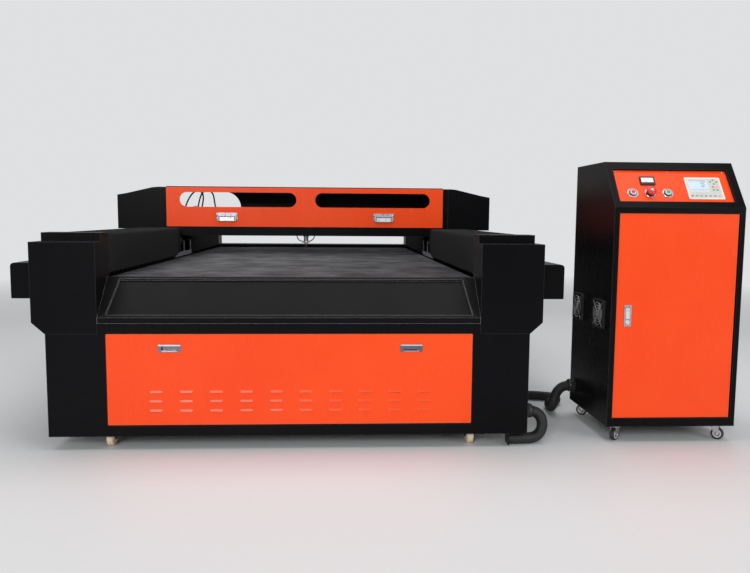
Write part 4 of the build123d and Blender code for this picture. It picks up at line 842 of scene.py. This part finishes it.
# Console: places are measured from the left end and the foot of the slope, along the slope
cabinet_left = 1293.0
cabinet_front = 48.0
slope_foot_z = 970.0
slope_run = 138.0
slope_rise = 189.0
panel_depth = 10.3
slope = Vector((0, slope_run, slope_rise)).normalized()
console_out = RIGHT.cross(slope)
console_corner = bed(cabinet_left, cabinet_front, slope_foot_z) - console_out * mm(panel_depth)
button_line = 80.0
button_places = {"stop": 92.0, "emergency": 165.0, "start": 238.0}
collar_height = 5.0
press_proud = 3.0
emergency_proud = 19.0
mark_outer = 7.2
mark_inner = 5.6
mark_start = 0.35
mark_sweep = 1.15


def on_console(x, y, lift=0.0):
    """Plane on the console panel at a place of it, lifted by some millimetres."""
    spot = console_corner + RIGHT * mm(x) + slope * mm(y) + console_out * mm(lift)
    return axes_at(spot, RIGHT, slope)


def make_button_rings():
    """Bezel plate and dark collar of each button, a white ring round the two that are pushed."""
    for name, x in button_places.items():
        place = on_console(x, button_line)
        ring_piece(f"{name}_bezel", PLATED, "machine", place, [
            (16.6, 0.1), (22.5, 0.1), (22.5, 1.6), (21.3, 2.5), (16.6, 2.5),
        ], 48)
        ring_piece(f"{name}_collar", BLACK_PLASTIC, "machine", place, [
            (12.8, 5.2), (15.2, 0.2), (16.4, 0.2), (16.4, 5.0), (15.4, 6.0), (12.8, 6.0),
        ], 48)
        if name != "emergency":
            ring_piece(f"{name}_ring", WHITE_PLASTIC, "machine", place, [
                (10.7, 5.1), (12.7, 5.1), (12.7, 6.6), (12.2, 7.0), (10.7, 7.0),
            ], 48)


def make_button_caps():
    """Slightly hollow lens in a white rim on each of the two push buttons."""
    for name, material in (("stop", RED_PLASTIC), ("start", GREEN_PLASTIC)):
        top = on_console(button_places[name], button_line, collar_height + press_proud)
        ring_piece(f"{name}_lens", material, f"{name}_button", top, [
            (8.2, 0.05), (8.2, 0.9), (7.6, 1.2), (4.6, 0.7), (1.0, 0.55),
        ], 48, closed=False)
        ring_piece(f"{name}_rim", WHITE_PLASTIC, f"{name}_button", top, [
            (8.4, 0.05), (10.5, 0.05), (10.5, 0.9), (9.9, 1.4), (8.8, 1.4), (8.4, 1.0),
        ], 48)


def make_emergency_marks():
    """Three curved turn marks and the key insert on the emergency stop's head."""
    top = on_console(button_places["emergency"], button_line, collar_height + emergency_proud)
    bm = bmesh.new()
    for number in range(3):
        first = 2 * math.pi * number / 3 + mark_start
        angles = [first + mark_sweep * step / 8 for step in range(9)]
        outer = [on_circle(mark_outer, angle) for angle in angles]
        inner = [on_circle(mark_inner, angle) for angle in angles]
        add_prism(bm, top, outer + inner[::-1], 0.25)
    piece_from(bm, "emergency_marks", WHITE_PLASTIC, "emergency_stop")
    insert = [(4.2, 0.05), (4.2, 0.9), (3.6, 1.3), (0.8, 1.3)]
    ring_piece("emergency_insert", CHROME, "emergency_stop", top, insert, 32, closed=False)


meter_place = (164.0, 141.0)
meter_face = (52.0, 32.0)
meter_recess = 4.0
dial_thickness = 0.4
pivot_drop = 11.0
tick_radius = 20.0
tick_count = 21
tick_step = 5.0
first_tick = 140.0
needle_turn = 136.0


def make_ammeter_dial():
    """White dial with a scale of ticks, a pointer and the dark cover of its pivot."""
    dial = on_console(*meter_place, meter_recess)
    outline = rounded(*meter_face, 1.0)
    prism_piece("ammeter_dial", WHITE_PLASTIC, "machine", dial, outline, dial_thickness)
    bm = bmesh.new()
    pivot = (meter_place[0], meter_place[1] - pivot_drop)
    face = on_console(*pivot, meter_recess + dial_thickness)
    for number in range(tick_count):
        length = 4.0 if number % 5 == 0 else 2.2
        tick = rounded(length, 0.5, 0.2, tick_radius + length / 2)
        add_prism(bm, turned(face, first_tick - tick_step * number), tick, 0.1)
    needle = turned(on_console(*pivot, meter_recess + 1.0), needle_turn)
    add_prism(bm, needle, [(0, -0.5), (21, -0.15), (21, 0.15), (0, 0.5)], 0.2)
    add_prism(bm, face, rounded(meter_face[0] - 2, 7.0, 1.0, 0, -1.0), 1.2, 0.3)
    piece_from(bm, "ammeter_scale", BLACK_PLASTIC, "machine")


controller_place = (397.0, 106.0)
screen_place = (375.0, 120.0)
screen_size = (78.0, 56.0)
bezel_height = 2.5
glass_lift = bezel_height - 0.95
line_lift = bezel_height - 0.62
face_lift = bezel_height + 0.04
key_lift = bezel_height + 0.25
key_pitch = 19.0


def make_screen():
    """Display in its recess, with plain fields of lines as a drawing on it."""
    glass = on_console(*screen_place, glass_lift)
    prism_piece("controller_screen", SCREEN, "machine", glass, rounded(*screen_size, 1.0), 0.3)
    bm = bmesh.new()
    middle_x, middle_y = screen_place
    for number, width in enumerate((20.0, 15.0, 18.0, 12.0)):
        line = on_console(middle_x + 12.0 + width / 2, middle_y + 19.0 - 8.0 * number, line_lift)
        add_prism(bm, line, rounded(width, 2.0, 0.4), 0.05)
    for rise, height, corner in ((24.5, 1.4, 0.4), (-22.0, 1.0, 0.3)):
        bar = on_console(middle_x, middle_y + rise, line_lift)
        add_prism(bm, bar, rounded(74.0, height, corner), 0.05)
    piece_from(bm, "screen_lines", BLACK_PLASTIC, "machine")


def make_face_sheet():
    """Grey sheet on the controller's face, cut out round the display."""
    bm = bmesh.new()
    offset_x = screen_place[0] - controller_place[0]
    offset_y = screen_place[1] - controller_place[1]
    inner = rounded(screen_size[0] + 4, screen_size[1] + 4, 1.5, offset_x, offset_y)
    face = on_console(*controller_place, face_lift)
    add_frame(bm, face, rounded(136.0, 98.0, 3.0), inner, 0.25)
    piece_from(bm, "controller_face", FACE_SHEET, "machine")


def make_keys():
    """Keypad: four arrow keys, two rows below them and a row along the bottom."""
    x = controller_place[0] + 45.0
    y = controller_place[1] + 33.0
    row_x = controller_place[0] - 60.0
    row_y = controller_place[1] - 40.0
    arrows = [(x, y + 10), (x, y - 10), (x - 13, y), (x + 13, y)]
    upper = [(x - 8, y - 26), (x + 8, y - 26)]
    lower = [(x - 8, y - 42), (x + 8, y - 42)]
    bottom = [(row_x + number * key_pitch, row_y) for number in range(7)]
    for colour, material, places in (
        ("green", GREEN_PLASTIC, arrows + lower + bottom[1:6]),
        ("red", RED_PLASTIC, [upper[0], bottom[0]]),
        ("amber", AMBER_PLASTIC, [upper[1], bottom[6]]),
    ):
        bm = bmesh.new()
        for place in places:
            add_prism(bm, on_console(*place, key_lift), rounded(9.0, 6.0, 2.0), 0.9, 0.3)
        piece_from(bm, f"{colour}_keys", material, "machine")


def screws(name, places, radius, material, body):
    """Group of button-head screws with hexagon sockets."""
    socket = hexagon(radius * 0.95)
    bm = bmesh.new()
    for place in places:
        add_rings(bm, place, [
            (radius, stand_off), (radius, radius * 0.25), (radius * 0.86, radius * 0.5),
            (radius * 0.62, radius * 0.62), (socket, radius * 0.62), (socket, radius * 0.2),
        ], 24)
    piece_from(bm, name, material, body, sharp=30)


make_button_rings()
make_button_caps()
make_emergency_marks()
make_ammeter_dial()
make_screen()
make_face_sheet()
make_keys()
screws("console_screws", [on_console(x, 190) for x in (41, 260, 492)], 3.4, CHROME, "machine")

# Folding handles of the gantry's cover: pressed base plate, capped ears and a pressed grip
gantry_front = 1605.0
handle_x = 468.0
handle_z = 932.0
ear_centre = 59.0
plate_outline = [(-62.5, -12.5), (62.5, -12.5), (62.5, 5), (56, 10), (-56, 10), (-62.5, 5)]
back_outline = rounded(122.0, 27.0, 3.0, 0, -24.0)
grip_outline = [(-47, -15.5), (-45, -40), (45, -40), (47, -15.5)]
# Painted shade behind the grip: dark dots at its lower corners and a dark line in the gap above it
shade_dot_x = 54.0
shade_dot_drop = 32.0
shadow_line_drop = 14.0


def make_handle_plates():
    """Base plate with broken corners, a cap on each ear, the sheet behind with painted shade on it:
    a dark line in the gap and dark dots at the grip's lower corners; the swinging grip below."""
    for name, x in (("left", -handle_x), ("right", handle_x)):
        bm = bmesh.new()
        place = facing_front(x, gantry_front - stand_off, handle_z)
        add_prism(bm, place, plate_outline, 3.2, 2.2)
        for side in (-1, 1):
            ear = facing_front(x + side * ear_centre, gantry_front - 1, handle_z)
            add_prism(bm, ear, rounded(7.6, 15.0, 3.0), 14.2, 2.0)
        piece_from(bm, f"handle_plate_{name}", PLATED, "gantry_cover")
        prism_piece(f"handle_back_{name}", PLATED, "gantry_cover", place, back_outline, 0.8)
        # Painted shade: black dots at the grip's lower corners and a black line in the gap between
        # plate and grip
        bm = bmesh.new()
        for side in (-1, 1):
            shade_dot = facing_front(x + side * shade_dot_x, gantry_front - 0.9, handle_z - shade_dot_drop)
            add_rings(bm, shade_dot, [(5.6, 0), (5.6, 2.4), (4.6, 3.4)], 28)
        shadow_line = facing_front(x, gantry_front - 0.9, handle_z - shadow_line_drop)
        add_prism(bm, shadow_line, rounded(104.0, 2.8, 1.0), 2.2)
        piece_from(bm, f"handle_painted_shade_{name}", BLACK_PLASTIC, "gantry_cover")
        grip = facing_front(x, gantry_front - 5.0, handle_z)
        hinged = f"cover_handle_{name}"
        prism_piece(f"handle_grip_{name}", SATIN, hinged, grip, grip_outline, 9.0, 4.0)


# Recessed pulls of the front door: bright lip over the plate and a bright rim under the cup
pull_x = 475.0
pull_z = 407.0
pull_face_y = -0.1
lip_rise = 12.2
rim_drop = 11.6


def make_pull_trims():
    bm = bmesh.new()
    for x in (-pull_x, pull_x):
        lip = facing_front(x, pull_face_y, pull_z)
        add_prism(bm, lip, rounded(88.0, 5.0, 1.0, 0, lip_rise), 2.6, 1.8)
        add_prism(bm, lip, rounded(60.0, 2.0, 0.9, 0, -rim_drop), 1.6, 0.7)
    piece_from(bm, "pull_trims", SATIN, "front_door")


make_handle_plates()
make_pull_trims()

# Guard strips beside the bellows, carried by the gantry
strip_x = 750.0
strip_outline = [(1450, 681), (1958, 681), (1958, 706), (1600, 706)]
hanger_y = (1735.0, 1935.0)
hanger_thickness = 1.5
hanger_end = 788.0
saddle_foot = 770.0


def make_gantry_strips():
    """Thin tapered strip along the inner side of each bellows, with hangers up to the saddle."""
    hanger_outline = [(-9, 684), (9, 684), (9, saddle_foot), (-9, saddle_foot)]
    arm_outline = rounded(hanger_end - strip_x, 18, 2.0)
    bm = bmesh.new()
    for side in (-1, 1):
        add_prism(bm, facing_right(side * strip_x, 0, 0), strip_outline, 1.0, 0.3)
        for y in hanger_y:
            riser = facing_right(side * (strip_x + hanger_thickness), y, 0)
            add_prism(bm, riser, hanger_outline, hanger_thickness)
            middle = side * (strip_x + hanger_end) / 2
            arm = facing_up(middle, y, saddle_foot - hanger_thickness)
            add_prism(bm, arm, arm_outline, hanger_thickness)
    piece_from(bm, "gantry_strips", ZINC, "gantry")


make_gantry_strips()


# Casters: profiles of the hub disc, the pale ring and the axle nut
hub_profile = [
    (4.3, 7.1), (13.5, 7.1), (14.0, 8.0), (12.8, 9.0), (10.4, 8.6), (9.4, 9.4), (7.0, 9.6),
    (4.3, 9.6),
]
ring_profile = [(14.2, 7.1), (16.9, 7.1), (17.1, 8.6), (16.4, 9.3), (14.8, 9.3), (14.2, 8.6)]
nut_profile = [(hexagon(12), 13.7), (hexagon(12), 16.6), (5.2, 17.6), (3.0, 17.8), (2.8, 18.6)]


def make_caster_hubs():
    """Pressed hub disc and pale ring on both sides of each caster wheel, nuts on its axle."""
    for name, joint in joints.items():
        if not (name.startswith("caster") and name.endswith("_spin")):
            continue
        axis = Vector(joint["axis"]).normalized()
        for part, profile, segments, closed, material, body in (
            ("hub", hub_profile, 40, True, PLATED, joint["child"]),
            ("ring", ring_profile, 40, True, WHITE_PLASTIC, joint["child"]),
            ("nuts", nut_profile, 36, False, PLATED, joint["parent"]),
        ):
            bm = bmesh.new()
            for side in (-1, 1):
                place = along_axis(Vector(joint["pos_m"]), axis * side)
                add_rings(bm, place, profile, segments, closed)
            piece_from(bm, name.replace("spin", part), material, body)


make_caster_hubs()

# Cabinet lock: key barrel and key slot on the release button
lock_x = 1364.0
lock_face_y = 50.0
key_z = 503.0


def make_lock_marks():
    key = facing_front(lock_x, lock_face_y - 2.1, key_z)
    barrel = [(4.6, 0.0), (4.6, 0.5), (4.0, 0.8), (1.2, 0.8)]
    ring_piece("lock_key_barrel", SATIN, "lock_button", key, barrel, 28, closed=False)
    mouth = facing_front(lock_x, lock_face_y - 2.9, key_z)
    outline = rounded(1.0, 6.0, 0.4)
    prism_piece("lock_key_slot", BLACK_PLASTIC, "lock_button", mouth, outline, 0.2)


make_lock_marks()

# Cabinet fans: raised frame and wire guard on each
fan_side_x = 1290.0
fan_centres = ((173.0, 524.0), (441.0, 524.0))
fan_frame = 120.0
fan_opening = 108.0
frame_corner = 7.0
opening_corner = 14.0
frame_depth = 8.0
guard_rings = (12.0, 24.0, 36.0, 48.0)
spoke_length = 142.0
wire = 1.1


def make_fan_guards():
    """Plastic frame round each fan with rings and spokes of wire across it."""
    frames = bmesh.new()
    wires = bmesh.new()
    outer = rounded(fan_frame, fan_frame, frame_corner)
    inner = rounded(fan_opening, fan_opening, opening_corner)
    spoke = rounded(spoke_length, 2 * wire, 0.9)
    for y, z in fan_centres:
        place = facing_left(fan_side_x, y, z)
        add_frame(frames, place, outer, inner, frame_depth)
        for radius in guard_rings:
            add_rings(wires, place, [
                (radius - wire, frame_depth), (radius, frame_depth - wire),
                (radius + wire, frame_depth), (radius, frame_depth + wire),
            ], 48, closed=True)
        across = place @ Matrix.Translation((0, 0, mm(frame_depth - wire)))
        for degrees in (45, 135):
            add_prism(wires, turned(across, degrees), spoke, 2 * wire)
    piece_from(frames, "fan_frames", BLACK_PLASTIC, "machine")
    piece_from(wires, "fan_wires", SATIN, "machine")


make_fan_guards()


# Head: carriage screws, mirror knobs and the clamp ring of the lens tube
carriage_face = 1674.0
nozzle_top = 765.0
thumb_screw = (0, head_y - 17.2, 807.5)


def make_head_details():
    """Screws of the carriage, adjusting knobs of the mirror, focus clamp and its thumb screw."""
    face = carriage_face - stand_off
    places = [facing_front(x, face, mirror_z + z) for x in (-44, 44) for z in (-54, 0, 54)]
    screws("carriage_screws", places, 4.2, SATIN, "head")
    bm = bmesh.new()
    for x, z in ((-13, 10), (-13, -13), (13, -13)):
        knob = facing_front(x, head_y - mirror_half - stand_off, mirror_z + z)
        add_rings(bm, knob, [(3.0, 0), (3.0, 3.0), (5.0, 3.4), (5.0, 9.0), (4.4, 9.8)], 28)
    piece_from(bm, "mirror_knobs", BRASS, "focus")
    bm = bmesh.new()
    add_rings(bm, along_axis(bed(0, head_y, nozzle_top), UP), [
        (13.4, 2.0), (15.2, 2.0), (15.8, 2.8), (15.8, 9.2), (15.2, 10.0), (13.4, 10.0),
    ], 48, closed=True)
    add_rings(bm, facing_front(*thumb_screw), [
        (2.2, 0), (2.2, 6.0), (5.4, 6.4), (5.4, 11.0), (4.8, 11.8),
    ], 24)
    piece_from(bm, "focus_clamp", SATIN, "focus")


# Laser tube: electrodes at both ends and the bore seen through the glass
laser_axis = (1890.0, 880.0)
laser_half = 760.0
bore_inset = 44.0
electrode_inset = 120.0


def make_tube_core():
    """Inner bore with its metal electrodes, inside the glass jacket."""
    core = along_axis(bed(-laser_half + bore_inset, *laser_axis), RIGHT)
    reach = 2 * (laser_half - bore_inset)
    bore = [(9.0, 0), (9.0, reach), (7.6, reach), (7.6, 0)]
    ring_piece("laser_bore", WHITE_PLASTIC, "gantry", core, bore, 32)
    bm = bmesh.new()
    for side in (-1, 1):
        end = along_axis(bed(side * (laser_half - electrode_inset), *laser_axis), (-side, 0, 0))
        add_rings(bm, end, [
            (12.0, 0), (26.0, 2), (26.0, 64), (24.6, 66), (24.6, 4), (12.0, 2),
        ], 40, closed=True)
    piece_from(bm, "laser_electrodes", SATIN, "gantry")


hood_back = 1960.0 + stand_off
rear_face = 3300.0 + stand_off
chain_cover_x = 1112.0 + stand_off
chain_cover_z = 610.0


def make_body_screws():
    """Screws that hold the back sheet, the rear panel and the covers over the chains."""
    places = [facing_back(x, hood_back, z) for x in range(-800, 801, 320) for z in (826, 1083)]
    screws("hood_screws", places, 4.0, SATIN, "gantry")
    places = [facing_back(x, rear_face, z) for x in (-900, -450, 0, 450, 900) for z in (90, 640)]
    screws("rear_screws", places, 5.0, SATIN, "machine")
    places = []
    for y in range(160, 3200, 380):
        places.append(facing_right(chain_cover_x, y, chain_cover_z))
        places.append(facing_left(-chain_cover_x, y, chain_cover_z))
    screws("chain_cover_screws", places, 4.0, BLACK_PLASTIC, "machine")


make_head_details()
make_tube_core()
make_body_screws()


# Stage
FLOOR = (0.70, 0.71, 0.72)
BACKDROP = (0.74, 0.75, 0.76)
floor_radius = 60.0
fade_start = 3.5
fade_end = 8.0
ambient = 0.34


def seen_directly(tree):
    """1 for rays from the camera and through glass."""
    rays = node(tree, "ShaderNodeLightPath").outputs
    return maths(tree, "MAXIMUM", rays["Is Camera Ray"], rays["Is Transmission Ray"])


def mixed_surface(tree, output, share, first, second):
    """Mixes two shaders into the tree's output."""
    inputs = {0: share, 1: first.outputs[0], 2: second.outputs[0]}
    mixed = node(tree, "ShaderNodeMixShader", inputs)
    tree.links.new(mixed.outputs[0], tree.nodes[output].inputs["Surface"])


def make_floor():
    """Pale floor that keeps the shadow near the machine and fades into the backdrop."""
    bm = bmesh.new()
    bmesh.ops.create_circle(bm, cap_ends=True, radius=floor_radius, segments=96)
    material, tree, shader = start("pale_floor", Roughness=0.55)
    tone = blended(tree, noise(tree, 45.0, 6.0), FLOOR, toned(FLOOR, 0.96))
    tree.links.new(tone, shader.inputs["Base Color"])
    where = node(tree, "ShaderNodeTexCoord").outputs["Object"]
    distance = node(tree, "ShaderNodeVectorMath", {0: where}, operation="LENGTH").outputs["Value"]
    far = ranged(tree, distance, 0.0, 1.0, fade_start, fade_end)
    share = maths(tree, "MULTIPLY", far, seen_directly(tree))
    plain = node(tree, "ShaderNodeEmission", {"Color": (*BACKDROP, 1), "Strength": 1.0})
    mixed_surface(tree, "Material Output", share, shader, plain)
    floor = linked("floor", mesh_from(bm, "floor", material))


def make_world():
    """Even light from all round, with the plain backdrop where it is seen."""
    world = bpy.data.worlds.new("studio")
    scene.world = world
    world.use_nodes = True
    tree = world.node_tree
    light = tree.nodes["Background"]
    light.inputs["Color"].default_value = (1, 1, 1, 1)
    light.inputs["Strength"].default_value = ambient
    seen = node(tree, "ShaderNodeBackground", {"Color": (*BACKDROP, 1), "Strength": 1.0})
    mixed_surface(tree, "World Output", seen_directly(tree), light, seen)


def softbox(name, place, target, width, height, power):
    """Rectangular lamp that looks at a target."""
    lamp = bpy.data.lights.new(name, "AREA")
    lamp.shape = "RECTANGLE"
    lamp.size = width
    lamp.size_y = height
    lamp.energy = power
    holder = linked(name, lamp)
    holder.location = place
    holder.rotation_euler = (Vector(target) - Vector(place)).to_track_quat("-Z", "Y").to_euler()


camera_place = (162.6, -2916.9, 925.8)
camera_yaw = 2.937
camera_pitch = 5.927
camera_roll = -0.411


def make_camera():
    """Camera at the photograph's place and angle."""
    yaw, pitch, roll = map(math.radians, (camera_yaw, camera_pitch, camera_roll))
    ahead = Vector((
        math.sin(yaw) * math.cos(pitch), math.cos(yaw) * math.cos(pitch), -math.sin(pitch)
    ))
    level = Vector((math.cos(yaw), -math.sin(yaw), 0))
    upward = level.cross(ahead)
    right = level * math.cos(roll) - upward * math.sin(roll)
    top = upward * math.cos(roll) + level * math.sin(roll)
    data = bpy.data.cameras.new("camera")
    data.sensor_width = 36.0
    data.lens = 35.882
    data.shift_x = 0.00534
    data.shift_y = 0.01002
    data.clip_end = 200.0
    camera = linked("camera", data)
    axes = Matrix((right, top, -ahead)).transposed().to_4x4()
    camera.matrix_world = Matrix.Translation(bed(*camera_place)) @ axes
    scene.camera = camera


make_floor()
make_world()
softbox("overhead", (0.0, -0.6, 5.2), (0.0, 0.0, 0.6), 6.5, 5.5, power=220.0)
softbox("front_left", (-2.6, -10.0, 3.7), (0.0, -1.0, 0.7), 3.3, 2.4, power=370.0)
softbox("front_right", (6.0, -8.0, 3.4), (0.6, -0.8, 0.7), 3.4, 4.0, power=185.0)
make_camera()
scene.view_settings.view_transform = "Standard"
